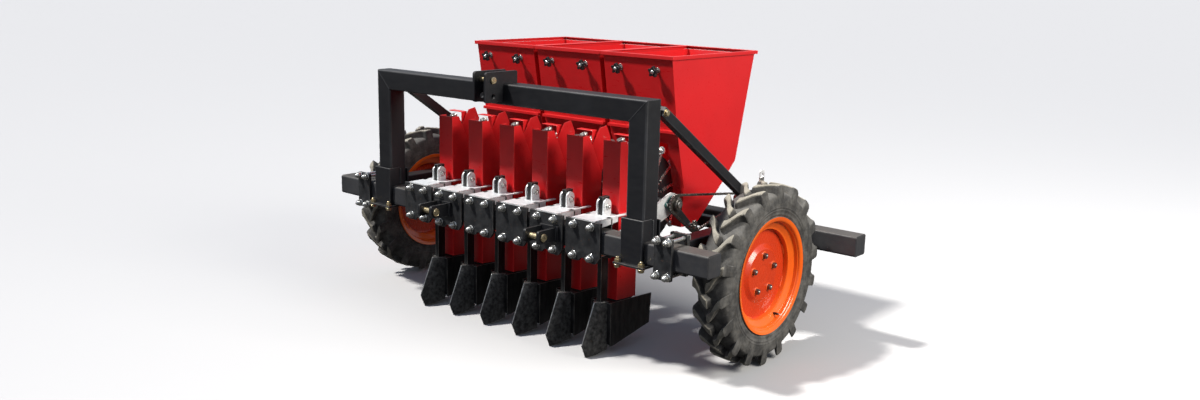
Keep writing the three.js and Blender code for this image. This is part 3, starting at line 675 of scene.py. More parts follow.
def side_member():
    """The left side member with its saddle, wheel hanger, stub axle, brace foot and eye strap."""
    x0, x1 = 755, 825
    rear_low, rear_high = span("rear_toolbar")
    z0, z1 = rear_high.z + GAP, SIDE_TOP
    y0, y1 = TUBE + 2 * GAP + PLATE, rear_high.y + 10
    shape = Shape()
    tube = rounded((x0, z0), (x1, z1), 6)
    shape.soft(BLACK, prism("y", tube, y0, y1), 0.8, 1)
    for near, far in ((rear_low.y - 10, rear_low.y - GAP), (rear_high.y + GAP, rear_high.y + 10)):
        strap = block((x0 + 5, near, rear_low.z - 5), (x1 - 5, far, z0 + 20))
        shape.soft(BLACK, strap, 2)
        for x in (x0 + 5, x1 - 5):
            shape.weld((x, (near + far) / 2, z0 + 1), (x, (near + far) / 2, z0 + 19), 2.4)
    hanger = [
        (385, z0 + 1), (396, 306), *arc((430, 330), 34, 205, 335, 8),
        (464, 306), (475, z0 + 1),
    ]
    shape.soft(BLACK, prism("x", hanger, x1 - 25, x1 - 13), 1.6)
    shape.weld((x1 - 12, 386, z0), (x1 - 12, 474, z0), 3.6)
    shape.add(BARE, rod("x", 20, x1 - 24, WHEEL_X + 10, AXLE, 32, 2))
    shape.add(BLACK_WORN_HIGHLIGHT_EDGE, ring("x", 19, 26, x1 - 13, x1 - 9, AXLE, 32, 2))
    brace_side = MAST_OUTER + GAP
    foot = block((brace_side, 725, 462), (x0 + 1, 779, 477))
    shape.soft(BLACK, foot, 1.5)
    ear = rounded((730, 468), (774, 519), 14)
    shape.soft(BLACK, prism("x", ear, brace_side, 725), 1.2)
    eye_strap(shape, x1 - 31, x1 - 25, z1)
    return shape


def eye_strap(shape, x0, x1, foot):
    """An upright flat strap with a hole near its rounded top."""
    y0, y1, crown, hole = 606, 634, 678, (620, 658)
    left = [*arc(hole, 8, 90, 270, 8)]
    right = [*arc(hole, 8, -90, 90, 8)]
    waist = hole[1]
    shape.soft(ZINC, prism("x", rectangle((y0, foot - 1), (y1, waist - 8)), x0, x1), 0.8, 1)
    near = [(y0, waist - 8), *left[::-1], (hole[0], crown), (y0 + 6, crown), (y0, crown - 6)]
    far = [(y1, waist - 8), (y1, crown - 6), (y1 - 6, crown), (hole[0], crown), *right[::-1]]
    shape.add(GALVANISED, prism("x", near, x0, x1), prism("x", far, x0, x1))


def counter_bearing(shape):
    """The pillow block of the countershaft on the left side member."""
    y, z = COUNTER
    seat = SIDE_TOP
    shape.soft(GREEN, block((765, y - 40, seat), (815, y + 40, seat + 8)), 2.5)
    body = [(y - 27, seat + 6), (y + 27, seat + 6), *arc((y, z), 24, 10, 170, 10)]
    shape.soft(GREEN, prism("x", body, 775, 805), 2.5)
    shape.add(BARE, ring("x", 12.5, 17, 772, 808, (y, z), 28))
    for dy in (-33, 33):
        small_bolt(shape, "z", (790, y + dy), seat + 8, 1, 14)


def side_clamp():
    """The left side clamp: two worn plates and four bolts."""
    low, high = span("side_clamp_left")
    x0, x1, z0, z1 = 770, 846, low.z, high.z
    shape = Shape()
    for near, far in ((-GAP - PLATE, -GAP), (TUBE + GAP, TUBE + GAP + PLATE)):
        plate = prism("y", rounded((x0, z0), (x1, z1), 5, 3), near, far)
        shape.soft(PLATES, plate, 1.2)
    for x in (x0 + 15, x1 - 15):
        for z in (z0 + 14, z1 - 14):
            clamp_bolt(shape, x, z, -GAP - PLATE, TUBE + GAP + PLATE)
            shape.add(ZINC, rod("y", 7, 0, TUBE, (x, z), 12))
    return shape


# ---- Hitch ----


def with_holes(axis, outline, holes, start, end, soft):
    """A plate with round holes: an outline filled round them, and softened."""
    curve = bpy.data.curves.new("outline", "CURVE")
    curve.dimensions, curve.fill_mode = "2D", "BOTH"
    curve.extrude = (end - start) / 2
    loops = [outline] + [arc(at, radius, 0, 345, 23) for at, radius in holes]
    for loop in loops:
        spline = curve.splines.new("POLY")
        spline.points.add(len(loop) - 1)
        spline.use_cyclic_u = True
        for point, (a, b) in zip(spline.points, loop):
            point.co = (a, b, 0, 1)
    holder = bpy.data.objects.new("outline", curve)
    flat = bpy.data.meshes.new_from_object(holder)
    shell = bmesh.new()
    shell.from_mesh(flat)
    bpy.data.objects.remove(holder)
    bpy.data.curves.remove(curve)
    bpy.data.meshes.remove(flat)
    for vert in shell.verts:
        a, b, c = vert.co
        vert.co = turned(axis, a, b, c + (start + end) / 2)
    bmesh.ops.remove_doubles(shell, verts=shell.verts, dist=WELD * 10)
    bmesh.ops.recalc_face_normals(shell, faces=shell.faces)
    for face in shell.faces:
        face.material_index = 0
    return softened(shell, soft)


def top_link_bracket():
    """Two ear plates with rounded corners and two holes each, and their web, cap and welds."""
    face, crown, top_pin = -GAP, span("mast")[1].z + GAP, middle("top_link_pin").yz
    shape = Shape()
    ear = [
        *arc((-84, 921), 8, 180, 270, 4), (face, 913), (face, crown), (74, crown),
        *arc((66, 1019), 8, 0, 90, 4), *arc((-80, 1015), 12, 90, 180, 4),
    ]
    holes = [(top_pin, 10), ((-52, 936), 10)]
    for start, end in ((-35, -25), (25, 35)):
        shape.add(BLACK, with_holes("x", ear, holes, start, end, 1.2), edge=BLACK_WORN_HIGHLIGHT_EDGE)
    shape.soft(BLACK, block((-26, face - 10, 918), (26, face, 1018)), 1.5)
    shape.soft(BLACK, block((-26, face - 1, crown), (26, 70, crown + 8)), 1.5)
    for x in (-25, 25):
        inwards = -math.copysign(1, x)
        shape.weld((x + inwards, face - 10, 922), (x + inwards, face - 10, 1014), 2.8)
    shape.place("top_link_bracket", "black_paint")


def hitch_pin(node, radius, finish, slot, ringed=False):
    """A headed pin along X with a cross pin near its end, and a pull ring on some heads."""
    low, high = span(node)
    at = middle(node).yz
    head = (high.z - low.z) / 2
    seat = high.x - 7.7
    shape = Shape()
    shape.add(finish, rod("x", radius, low.x, seat + 1, at, 28, 2.2))
    shape.add(finish, rod("x", head, seat, high.x, at, 32, 1.8))
    reach, cross = radius + 0.4, (low.x + 6, at.x)
    shape.add(BARE, rod("z", radius * 0.25, at.y - reach, at.y + reach, cross, 10, 0.2))
    if ringed:
        steps, pull, wire = 40, 13.2, 1.6
        centre = Vector((high.x - 1.2, at.x - 1, at.y - 2))
        turns = [math.tau * k / steps for k in range(steps)]
        loop = [centre + Vector((0, pull * math.cos(t), pull * math.sin(t))) for t in turns]
        shape.add(YELLOW_ZINC, sweep(loop, [wire] * steps, 8, looped=True))
    shape.place(node, slot)


def lower_hitch():
    """A lower hitch bracket round x = 0: base plate, two eared plates and their welds."""
    back = -2 * GAP - PLATE
    pin = middle("lower_hitch_pin_left").yz
    shape = Shape()
    front = span("lower_hitch_left")[0].y
    ear = [
        (back, 431), (-104, 431), *arc((front + 12, 443), 12, 250, 180, 3),
        *arc((front + 12, 469), 12, 180, 110, 3), (-104, 481), (back, 481),
    ]
    for start, end in ((-38, -28), (28, 38)):
        shape.add(BLACK, with_holes("x", ear, [(pin, 11.4)], start, end, 1.2), edge=BLACK_WORN_HIGHLIGHT_EDGE)
        for x in (start, end):
            shape.weld((x, back - 10, 434), (x, back - 10, 478), 2.6)
    shape.soft(BLACK, block((-46, back - 10, 425), (46, back, 485)), 1.5)
    return shape


# ---- Row units, round x = 0 ----


def row_clamp():
    """The clamp of a row: lobed front plate, rear plate, bright deck and lugs, and its bolts."""
    top, bottom, front = 528, 375, -GAP - PLATE
    half = 82
    shape = Shape()
    lobe = [(-half, 400), (-66, bottom + 4), *arc((-58, bottom + 8), 8, 240, 270, 2)]
    notch = [(-20, bottom), (-8, 388), (8, 388), (20, bottom)]
    other = [*arc((58, bottom + 8), 8, 270, 300, 2), (66, bottom + 4), (half, 400)]
    outline = [(-half, top), *lobe, *notch, *other, (half, top)]
    shape.soft(PLATES, prism("y", outline, front, -GAP), 1.3)
    rear = prism("y", rounded((-58, 378), (58, top), 4, 3), TUBE + GAP, TUBE + 6)
    shape.soft(PLATES, rear, 1)
    for side in (1, -1):
        arm = [(0, 500), (120, 510), (120, top), (0, top)]
        flange = prism("x", arm, *sorted((side * 52, side * 56)))
        shape.soft(GALVANISED, flange, 0.8)
        low, high = sorted((side * 41.3, side * 56))
        shape.soft(GALVANISED, block((low, 60, top - 1), (high, 180, top + 4)), 1)
        lug_plate(shape, *sorted((side * 11, side * 19)), top)
    slot = 10.5
    shape.soft(GALVANISED, block((-56, front, top - 1), (56, 86, top + 4)), 1.2, edge=ZINC)
    for low, high in ((-41.3, -slot), (slot, 41.3)):
        shape.soft(GALVANISED, block((low, 84, top - 1), (high, 130, top + 4)), 0.8)
    for x in (-41, 41):
        for z in (395, 509):
            clamp_bolt(shape, x, z, front, TUBE + 6)
            shape.add(ZINC, rod("y", 7.6, 0, TUBE, (x, z), 12))
    pivot = (104, 562)
    shape.add(ZINC, rod("x", 6, -22, 22, pivot, 14))
    shape.add(ZINC, dome("x", 5.6, 24, 31, pivot))
    small_bolt(shape, "x", pivot, 19, 1, 16)
    small_bolt(shape, "x", pivot, -19, -1, 16)
    return shape


def lug_plate(shape, start, end, deck):
    """An upright lug with a rounded head, welded to the deck."""
    outline = [(83, deck + 3), (125, deck + 3), *arc((104, 571), 21, 0, 180, 12)]
    shape.soft(GALVANISED, prism("x", outline, start, end), 1.4, edge=ZINC)
    face = end if start > 0 else start
    shape.add(GALVANISED, bead((face, 85, deck + 4), (face, 123, deck + 4), 2.6))


def opener():
    """A furrow opener: shank, creased nose with a worn edge, web and side wings."""
    shape = Shape()
    shank = block((-10, 87, 60), (10, 126, 599))
    shape.soft(SOIL_WORN, shank, 1.6)
    edge = [(1.5, 61, 204), (1.5, -6, 51), (1.5, 17, 0), (5, 34, 0)]
    crease = [(17, 80, 203), (22, 50, 8)]
    back = [(30, 112, 202), (30, 108, 16)]
    both = [(s * x, y, z) for x, y, z in edge + crease + back for s in (1, -1)]
    shape.soft(SOIL_NOSE, hull(both), 1.8, 2)
    wing = [(102, 32), (120, 32), (337, 72), (347, 190), (102, 202)]
    for start, end in ((-48, -44), (44, 48)):
        shape.soft(SOIL_WORN, prism("x", wing, start, end), 0.9)
    shape.soft(SOIL_WORN, block((-46, 104, 36), (46, 142.5, 198)), 2)
    for side in (1, -1):
        seam = ((side * 10, 90, 203), (side * 10, 122, 200))
        shape.add(SOIL_WORN, bead(*seam, radius=3))
    return shape


def chute():
    """A folded channel with a sloping top and one wing, and a cover and fixed cup at its mouth."""
    half, wall, y0, y1 = 41, 3, 143, 255
    foot, top, shoulder = 203, 797, 645
    side = [(y0 + 1, foot), (y1, 196), (y1, shoulder), (180, top), (y0 + 1, top)]
    shape = Shape()
    face = block((-half, y0, foot), (half, y0 + wall, top))
    shape.soft(RED, face, 2, 3, along="z")
    for start, end in ((-half, wall - half), (half - wall, half)):
        shape.soft(RED, prism("x", side, start, end), 0.9, 2)
    shape.soft(RED, block((-half + 1, y1 - wall, 196), (half - 1, y1, 360)), 0.9)
    wing = [(38.5, 197, 762), (53, 222, 824), (66, 246, 833), (66, 271, 786), (38.5, y1, shoulder)]
    sheet = wing + [(x + 2.5, y - 0.5, z) for x, y, z in wing]
    shape.soft(RED, hull(sheet), 0.5, 1)
    cover = block((wall - half - 1, 196, 812), (half - wall + 1, 226, 815))
    stay = block((half - wall - 1, 196, 770), (half - wall + 1, 226, 813))
    shape.add(RED, softened(cover, 0.8, 1), softened(stay, 0.6, 1), edge=RED_WORN_HIGHLIGHT_EDGE)
    spout = Matrix.Translation((19, 172, 796)) @ Matrix.Rotation(math.radians(-70), 4, "X")
    spout = spout @ Matrix.Translation((0, 0, -CUP_REACH))
    shape.add(ZINC, moved(cup(), spout))
    shape.soft(ZINC, block((-38, 158, 789), (20, 168, 793)), 0.8, 1)
    return shape


def cup_wheel():
    """A cup wheel round the metering shaft: black discs, bolts, and arms with a bright cup each."""
    arms, hub, bolts, bolt_circle = 14, METER, 8, 62
    shape = Shape()
    disc = [(-3, 13), (-3, 96), (-1.6, 99), (-1.6, 105), (1.6, 105), (1.6, 99), (3, 96), (3, 13)]
    shape.add(BLACK, lathe("x", disc, hub, 56))
    # A black ring from radius 100 to 178 lies behind the arms and closes the spaces between them,
    # which are open in the CAD.
    shape.add(BLACK, ring("x", 100, 178, -1, 1, hub, 56))
    shape.add(BLACK, ring("x", 13, 24, -18, 18, hub, 32, 2))
    shape.add(ZINC, ring("x", 12.6, 18, 18, 19.5, hub, 24, 0.5))
    for k in range(bolts):
        angle = math.tau * (k + 0.5) / bolts
        at = (hub.x + bolt_circle * math.cos(angle), hub.y + bolt_circle * math.sin(angle))
        for seat, away in ((3, 1), (-3, -1)):
            shape.add(ZINC, hexagon("x", 11, seat, seat + away * 5, at))
    for k in range(arms):
        turn = (
            Matrix.Translation((0, hub.x, hub.y))
            @ Matrix.Rotation(math.tau * k / arms, 4, "X")
        )
        shape.add(ZINC, moved(softened(block((-2.5, -6, 74), (2.5, 6, 184)), 0.8), turn))
        for reach in (80, 96):
            shape.add(ZINC, moved(hexagon("x", 8, 2.5, 7, (0, reach)), turn))
        shape.add(ZINC, moved(cup(), turn))
    return shape


def cup():
    """One cup: a thin-walled bowl at the end of an arm, open forwards."""
    radius, wall, front, depth = 15.5, 1.6, -8, 21
    turns = [math.radians(15 * i) for i in range(7)]
    outer = [(front + depth * math.sin(t), radius * math.cos(t)) for t in turns]
    inner = [
        (front + (depth - wall) * math.sin(t), (radius - wall) * math.cos(t)) for t in turns[::-1]
    ]
    return lathe("y", outer + inner, (0, CUP_REACH), 20)


# ---- Hoppers ----

HOPPER_SIDE = (
    (395, 1083), (440, 820), (499, 590), (499.5, 570), (503, 425),
    (604, 418), (768.3, 570), (858, 653), (963, 1083),
)


def hopper_half(z):
    """Half the width of a hopper at a height: it tapers below its crease."""
    crease, foot, half, taper = 570, 400, 167.5, 12
    return half - taper * max(0, (crease - z) / (crease - foot))


def hopper_sheet():
    """The bin as one bent sheet: its walls as the faces of an open surface."""
    shell = bmesh.new()
    right = [shell.verts.new((-hopper_half(z), y, z)) for y, z in HOPPER_SIDE]
    left = [shell.verts.new((hopper_half(z), y, z)) for y, z in HOPPER_SIDE]
    for i in range(len(HOPPER_SIDE) - 1):
        shell.faces.new((right[i], left[i], left[i + 1], right[i + 1]))
    for wall in (left, right):
        shell.faces.new([wall[i] for i in (0, 1, 2, 3, 6, 7, 8)])
        shell.faces.new([wall[i] for i in (3, 4, 5, 6)])
    bmesh.ops.recalc_face_normals(shell, faces=shell.faces)
    return shell


def as_object(shell, name):
    """Stands a shell in the scene for a moment, so that modifiers can work on it."""
    mesh = bpy.data.meshes.new(name)
    shell.to_mesh(mesh)
    shell.free()
    holder = bpy.data.objects.new(name, mesh)
    bpy.context.scene.collection.objects.link(holder)
    return holder


def as_shell(holder, *tools):
    """The shell that an object's modifiers make. The object and its tools are removed."""
    graph = bpy.context.evaluated_depsgraph_get()
    result = bpy.data.meshes.new_from_object(holder.evaluated_get(graph))
    made = bmesh.new()
    made.from_mesh(result)
    bpy.data.meshes.remove(result)
    for used in (holder, *tools):
        mesh = used.data
        bpy.data.objects.remove(used)
        bpy.data.meshes.remove(mesh)
    return made


def solid_sheet(shell, thickness):
    """Thickens an open sheet inwards with Blender's Solidify."""
    holder = as_object(shell, "sheet")
    wall = holder.modifiers.new("wall", "SOLIDIFY")
    wall.thickness, wall.offset, wall.use_even_offset = thickness, -1, True
    made = as_shell(holder)
    for face in made.faces:
        face.material_index = 0
    return made


def slotted(shell, slots):
    """Cuts slots through a sheet with Blender's Boolean."""
    sheet = as_object(shell, "sheet")
    tools = [as_object(slot, "slot") for slot in slots]
    for tool in tools:
        cut = sheet.modifiers.new("cut", "BOOLEAN")
        cut.operation, cut.object, cut.solver = "DIFFERENCE", tool, "EXACT"
    return as_shell(sheet, *tools)


def hopper(node, rows):
    """A hopper: slotted bin, folded rim and front lip."""
    low, high = span(node)
    x = (low.x + high.x) / 2
    shape = Shape()
    sheet = softened(solid_sheet(hopper_sheet(), 3), 1.3, 2)
    slots = []
    for row in rows:
        at = ROW_X[row] - x
        slots.append(block((at - 20, 430, 380), (at + 20, 540, 756)))
    shape.add(RED, slotted(sheet, slots), edge=RED_WORN_HIGHLIGHT_EDGE)
    hopper_rim(shape, low, high, x)
    lip = [(428, 800), (443, 800), (443, 812), (428, 812)]
    shape.soft(RED, prism("x", lip, -166.5, 166.5), 1.5)
    shape.place(node, "red_paint", Matrix.Translation((x, 0, 0)))


def hopper_rim(shape, low, high, x):
    """The rim: a flat flange round the top with its outer edge turned down."""
    half, skirt, depth = high.x - x, 2.5, 14
    outer = ((-half, low.y), (half, high.y))
    inner = ((-164.5, 399), (164.5, 959))

    def frame_ring(a, b, z0, z1):
        def corners(box, z):
            return [(*point, z) for point in rectangle(*box)]
        return loft([corners(a, z0), corners(a, z1), corners(b, z1), corners(b, z0)], looped=True)

    top = high.z
    shape.soft(RED, frame_ring(outer, inner, top - 2.5, top), 1.1)
    turned_down = [[c + inset for c in corner] for corner, inset in zip(outer, (skirt, -skirt))]
    shape.soft(RED, frame_ring(outer, turned_down, top - depth, top - 0.5), 0.9)


def knob(row):
    """A five-lobed star knob with a bright insert, its washer and its stud, at its own joint."""
    joint = JOINTS[f"knob_{row}_turn"]
    place = TO_FRAME.inverted() @ Vector(joint["pos_m"])
    lean = math.atan2(-joint["axis"][2], -joint["axis"][1])
    shape = Shape()
    steps, mean, lobe, lobes, twist = 60, 18, 4, 5, 0.21
    turns = [math.tau * k / steps for k in range(steps)]
    radii = [mean + lobe * math.cos(lobes * (t - twist)) for t in turns]
    star = [(r * math.cos(t), r * math.sin(t)) for r, t in zip(radii, turns)]
    shape.soft(KNOB, prism("y", star, -34, -20), 3.2, 4)
    shape.add(KNOB, rod("y", 11, -21, -16.5, (0, 0), 24, 1.5))
    shape.add(ZINC, dome("y", 8, -33, -38, (0, 0), 24))
    shape.add(ZINC, hexagon("y", 13, -17, -10, (0, 0)))
    shape.add(ZINC, ring("y", 5, 12, -1.8, -0.4))
    shape.add(ZINC, rod("y", 5, -19, 9, (0, 0), 16, 0.8))
    at = Matrix.Translation(place) @ Matrix.Rotation(lean, 4, "X")
    shape.place(f"row_{row}_knob", "knob_plastic", at)


def hopper_crossbar():
    """The bar below the hoppers, with welded gussets that reach their sloping backs."""
    low, high = span("hopper_crossbar")
    z1 = span("rear_toolbar")[1].z
    shape = Shape()
    tube = rounded((low.y, low.z), (high.y, z1), 5)
    shape.soft(BLACK, prism("x", tube, low.x, high.x), 0.8, 1)
    (near, floor), (far, ceiling) = HOPPER_SIDE[5], HOPPER_SIDE[7]
    slope = (ceiling - floor) / (far - near)
    tops = [floor + (y - near) * slope - 2 * GAP for y in (low.y, high.y)]
    outline = [(low.y, z1 - 1), (high.y, z1 - 1), (high.y, tops[1]), (low.y, tops[0])]
    for node in ("hopper_left", "hopper_middle", "hopper_right"):
        for dx in (-100, 100):
            x = middle(node).x + dx
            shape.soft(BLACK, prism("x", outline, x - 20, x + 20), 1.2)
            shape.weld((x - 19, low.y - 0.5, z1 + 1), (x + 19, low.y - 0.5, z1 + 1), 2.6)
    shape.place("hopper_crossbar", "black_paint")


# ---- Drive ----

CHAIN_PITCH = 12.7
ROLLER = 3.9
TOOTH_HALF = 2.6
TEETH = {"wheel": 28, "counter_outer": 14, "counter_inner": 10, "meter": 17, "idler": 11}


def pitch_radius(teeth):
    return teeth * CHAIN_PITCH / math.tau


class ChainRun:
    """A chain's loop round sprockets listed anticlockwise in (y, z), each (teeth, centre)."""

    def __init__(self, rounds):
        self.stretches = []
        circles = [(pitch_radius(teeth), Vector(at)) for teeth, at in rounds]
        normals = []
        for i, (r1, c1) in enumerate(circles):
            r2, c2 = circles[(i + 1) % len(circles)]
            run = c2 - c1
            lean = math.asin((r1 - r2) / run.length)
            normals.append(math.atan2(run.y, run.x) - math.pi / 2 + lean)
        for i, (radius, centre) in enumerate(circles):
            begin, finish = normals[i - 1], normals[i]
            turn = (finish - begin) % math.tau
            self.stretches.append(("arc", centre, radius, begin, radius * turn))
            r2, c2 = circles[(i + 1) % len(circles)]
            off = Vector((math.cos(finish), math.sin(finish)))
            one, two = centre + off * radius, c2 + off * r2
            self.stretches.append(("line", one, two, None, (two - one).length))
        self.length = sum(stretch[-1] for stretch in self.stretches)
        self.count = 2 * round(self.length / CHAIN_PITCH / 2)

    def at(self, distance):
        """The point on the loop at a distance along it."""
        distance %= self.length
        for kind, a, b, begin, length in self.stretches:
            if distance <= length:
                if kind == "line":
                    return a.lerp(b, distance / length)
                angle = begin + distance / b
                return a + Vector((math.cos(angle), math.sin(angle))) * b
            distance -= length
        return self.stretches[0][1]

    def rollers(self):
        return [self.at(self.length * i / self.count) for i in range(self.count)]

    def phase(self, index):
        """The angle of a roller that lies on the given sprocket."""
        begin = sum(stretch[-1] for stretch in self.stretches[: 2 * index])
        half = self.stretches[2 * index][-1] / 2
        pitch = self.length / self.count
        nearest = round((begin + half) / pitch) * pitch
        out = self.at(nearest) - self.stretches[2 * index][1]
        return math.atan2(out.y, out.x)


METER_RUN = ChainRun(
    [(TEETH["meter"], METER), (TEETH["idler"], IDLER), (TEETH["counter_inner"], COUNTER)]
)
WHEEL_RUN = ChainRun([(TEETH["wheel"], AXLE), (TEETH["counter_outer"], COUNTER)])


def sprocket(teeth, x, centre, phase):
    """A toothed disc round x, with a roller seat at the phase angle."""
    root, tip = pitch_radius(teeth) - ROLLER, pitch_radius(teeth) + 3.4
    steps = 10
    outline = []
    for k in range(teeth * steps):
        share = abs((k / steps) % 1 - 0.5) * 2
        rise = (1 - share) ** 1.6
        reach = root + (tip - root) * min(1, rise * 1.25)
        angle = phase + math.tau * k / (teeth * steps)
        outline.append((centre[0] + reach * math.cos(angle), centre[1] + reach * math.sin(angle)))
    return softened(prism("x", outline, x - TOOTH_HALF, x + TOOTH_HALF), 0.5, 1)


def chain(node, run):
    """A roller chain: rollers, and inner and outer plates in turn."""
    x = middle(node).x
    shape = Shape()
    points = run.rollers()
    for i, here in enumerate(points):
        there = points[(i + 1) % len(points)]
        shape.add(BARE, rod("x", ROLLER, x - 2.8, x + 2.8, here, 10, 0.3))
        shape.add(OILED, rod("x", 1.8, x - 5, x + 5, here, 8, 0.4))
        along = math.degrees(math.atan2(there.y - here.y, there.x - here.x))
        plate = [
            *arc(here, 4.4, along + 110, along + 250, 5),
            *arc(there, 4.4, along - 70, along + 70, 5),
        ]
        inner, outer = ((2.9, 3.8), (4.0, 4.9))[i % 2]
        shape.add(OILED, prism("x", plate, x + inner, x + outer))
        shape.add(OILED, prism("x", plate, x - outer, x - inner))
    shape.place(node, "chain_steel")


def metering_shaft():
    low, high = span("metering_shaft")
    chain_x = middle("metering_chain").x
    shape = Shape()
    shape.add(BARE, rod("x", 12.5, low.x, high.x, METER, 28, 1.5))
    shape.add(OILED, sprocket(TEETH["meter"], chain_x, METER, METER_RUN.phase(0)))
    shape.add(OILED, ring("x", 12.4, 22, chain_x + 2, chain_x + 17, METER, 32, 1.5))
    shape.add(ZINC, hexagon("z", 8, METER.y + 20, METER.y + 26, (chain_x + 11, METER.x)))
    for row in ROWS:
        for side in (-1, 1):
            x = ROW_X[row] + side * 27
            shape.add(ZINC, ring("x", 12.4, 19, x - 6, x + 6, METER, 28, 1))
    shape.place("metering_shaft", "bare_steel")


def countershaft():
    low, high = span("countershaft")
    inner_x, outer_x = middle("metering_chain").x, middle("wheel_chain").x
    shape = Shape()
    shape.add(BARE, rod("x", 12, low.x, high.x, COUNTER, 28, 1.5))
    for key, x, run, index in (
        ("counter_inner", inner_x, METER_RUN, 2), ("counter_outer", outer_x, WHEEL_RUN, 1),
    ):
        shape.add(OILED, sprocket(TEETH[key], x, COUNTER, run.phase(index)))
        hub = min(19, pitch_radius(TEETH[key]) - 5)
        shape.add(OILED, ring("x", 11.9, hub, x - 16, x - 2, COUNTER, 28, 1.2))
    for x in (762, 818):
        shape.add(ZINC, ring("x", 11.9, 18, x - 5, x + 5, COUNTER, 28, 1))
    shape.place("countershaft", "bare_steel")


def idler():
    x = middle("idler_sprocket").x
    shape = Shape()
    shape.add(OILED, sprocket(TEETH["idler"], x, IDLER, METER_RUN.phase(1)))
    shape.add(OILED, ring("x", 7.7, 14, x - 5, x + 5, IDLER, 28, 1))
    shape.place("idler_sprocket", "bare_steel")


def bearing_bracket(name):
    """A bolted foot, a plate and a green flange bearing. The left one also holds the idler."""
    x0, x1 = 556, 564
    shape = Shape()
    foot = block((545, TUBE + GAP, BAR_LOW.z), (605, TUBE + 8, BAR_HIGH.z))
    shape.soft(GALVANISED, foot, 1.2, edge=ZINC)
    for z in (BAR_LOW.z + 16, BAR_HIGH.z - 16):
        small_bolt(shape, "y", (590, z), TUBE + 8, 1, 15)
    fan = [(y, z, x) for y, z in arc(METER, 42, 0, 330, 11) for x in (x0, x1)]
    fan += [(TUBE + 2, z, x) for z in (BAR_LOW.z + 6, BAR_HIGH.z - 6) for x in (x0, x1)]
    slab = hull([(x, y, z) for y, z, x in fan])
    shape.soft(GALVANISED, slab, 1, edge=ZINC)
    diamond = [
        *arc(METER, 30, 20, 160, 8), *arc((METER.x - 34, METER.y), 10, 120, 240, 5),
        *arc(METER, 30, 200, 340, 8), *arc((METER.x + 34, METER.y), 10, -60, 60, 5),
    ]
    shape.soft(GREEN, prism("x", diamond, x1, x1 + 6), 1.5)
    shape.add(GREEN, ring("x", 13.2, 25, x1 + 5, x1 + 8, METER, 32, 2))
    shape.add(GREEN, ring("x", 13.2, 30, x0 - 8, x0, METER, 32, 2))
    shape.add(BARE, ring("x", 12.9, 17, x0 - 8.5, x1 + 9, METER, 32, 0.6))
    for dy in (-34, 34):
        small_bolt(shape, "x", (METER.x + dy, METER.y), x1 + 6, 1, 10)
    if name == "left":
        turns = arc(METER, 19, 0, 330, 11) + arc(IDLER, 14, 0, 330, 11)
        reach = [(x, *point) for point in turns for x in (x0, x1)]
        shape.soft(PLATES, hull(reach), 1)
        chain_x = middle("metering_chain").x
        shape.add(ZINC, rod("x", 7, x0, chain_x + 9, IDLER, 20))
        shape.add(ZINC, rod("x", 12, x1 - 1, chain_x - 5.3, IDLER, 24))
    side = 1 if name == "left" else -1
    shape.place(f"bearing_bracket_{name}", "galvanised", mirrored(side))


# ---- Wheels, round their own axis with +X outwards ----


def wheel_place(side):
    return Matrix.Translation((side * WHEEL_X, *AXLE)) @ mirrored(side)


def rim(shape):
    """A pressed rim: curled flanges, bead seats, stepped well and the dished disc."""
    outer = [
        (64, 216), (61.5, 217), (59, 215), (57.5, 206), (54, 203), (40, 200.5), (34, 196),
        (26, 176), (22, 172),
    ]
    under = [(-x, r) for x, r in outer[:0:-1]]
    back = [
        (-64, 216), (-62, 206), (-57, 199.5), (-42, 196.5), (-37, 192), (-28, 172), (-20, 167.5),
    ]
    face = [
        (22, 167), (27, 169), (29, 178), (36, 186), (38, 195), (44, 196.5), (50, 197), (52, 199.5),
        (57, 200.5), (60.5, 204), (62.5, 211),
    ]
    # The rim's lighter, yellower orange is painted sunlight.
    shape.add(SUNLIT_RIM_ORANGE, lathe("x", outer + under + back + face, (0, 0), 96))
    disc = [
        (6, 171), (9, 167), (8.6, 160), (8.8, 112), (10, 107), (21, 95), (22.4, 92), (22.4, 40),
        (21.2, 36), (20.8, 31), (21.4, 28), (21.4, 0), (15, 0), (16, 88), (14, 92), (5, 104),
        (3.8, 108), (3.8, 160), (2, 168),
    ]
    # The disc's darker red-orange is painted shade.
    shape.add(ORANGE, lathe("x", disc, (0, 0), 96))
    # Seam and flange beads in the lighter orange, whose lightness is a painted highlight.
    seam = ((-20, 0, -168), (20, 0, -168))
    shape.add(ORANGE_WORN_HIGHLIGHT_EDGE, bead(*seam, radius=1.6))
    for k in range(16):
        turn = Matrix.Rotation(math.tau * k / 16, 4, "X")
        if k % 2:
            shape.add(ORANGE_WORN_HIGHLIGHT_EDGE, moved(bead((10, -22, 165), (10, 22, 165), 3), turn))
    valve = Matrix.Rotation(math.radians(205), 4, "X")
    shape.add(KNOB, moved(rod("x", 4.5, 30, 52, (0, 181), 14, 1.2), valve))
    shape.add(ZINC, moved(rod("x", 3.2, 50, 60, (0, 181), 12, 0.8), valve))


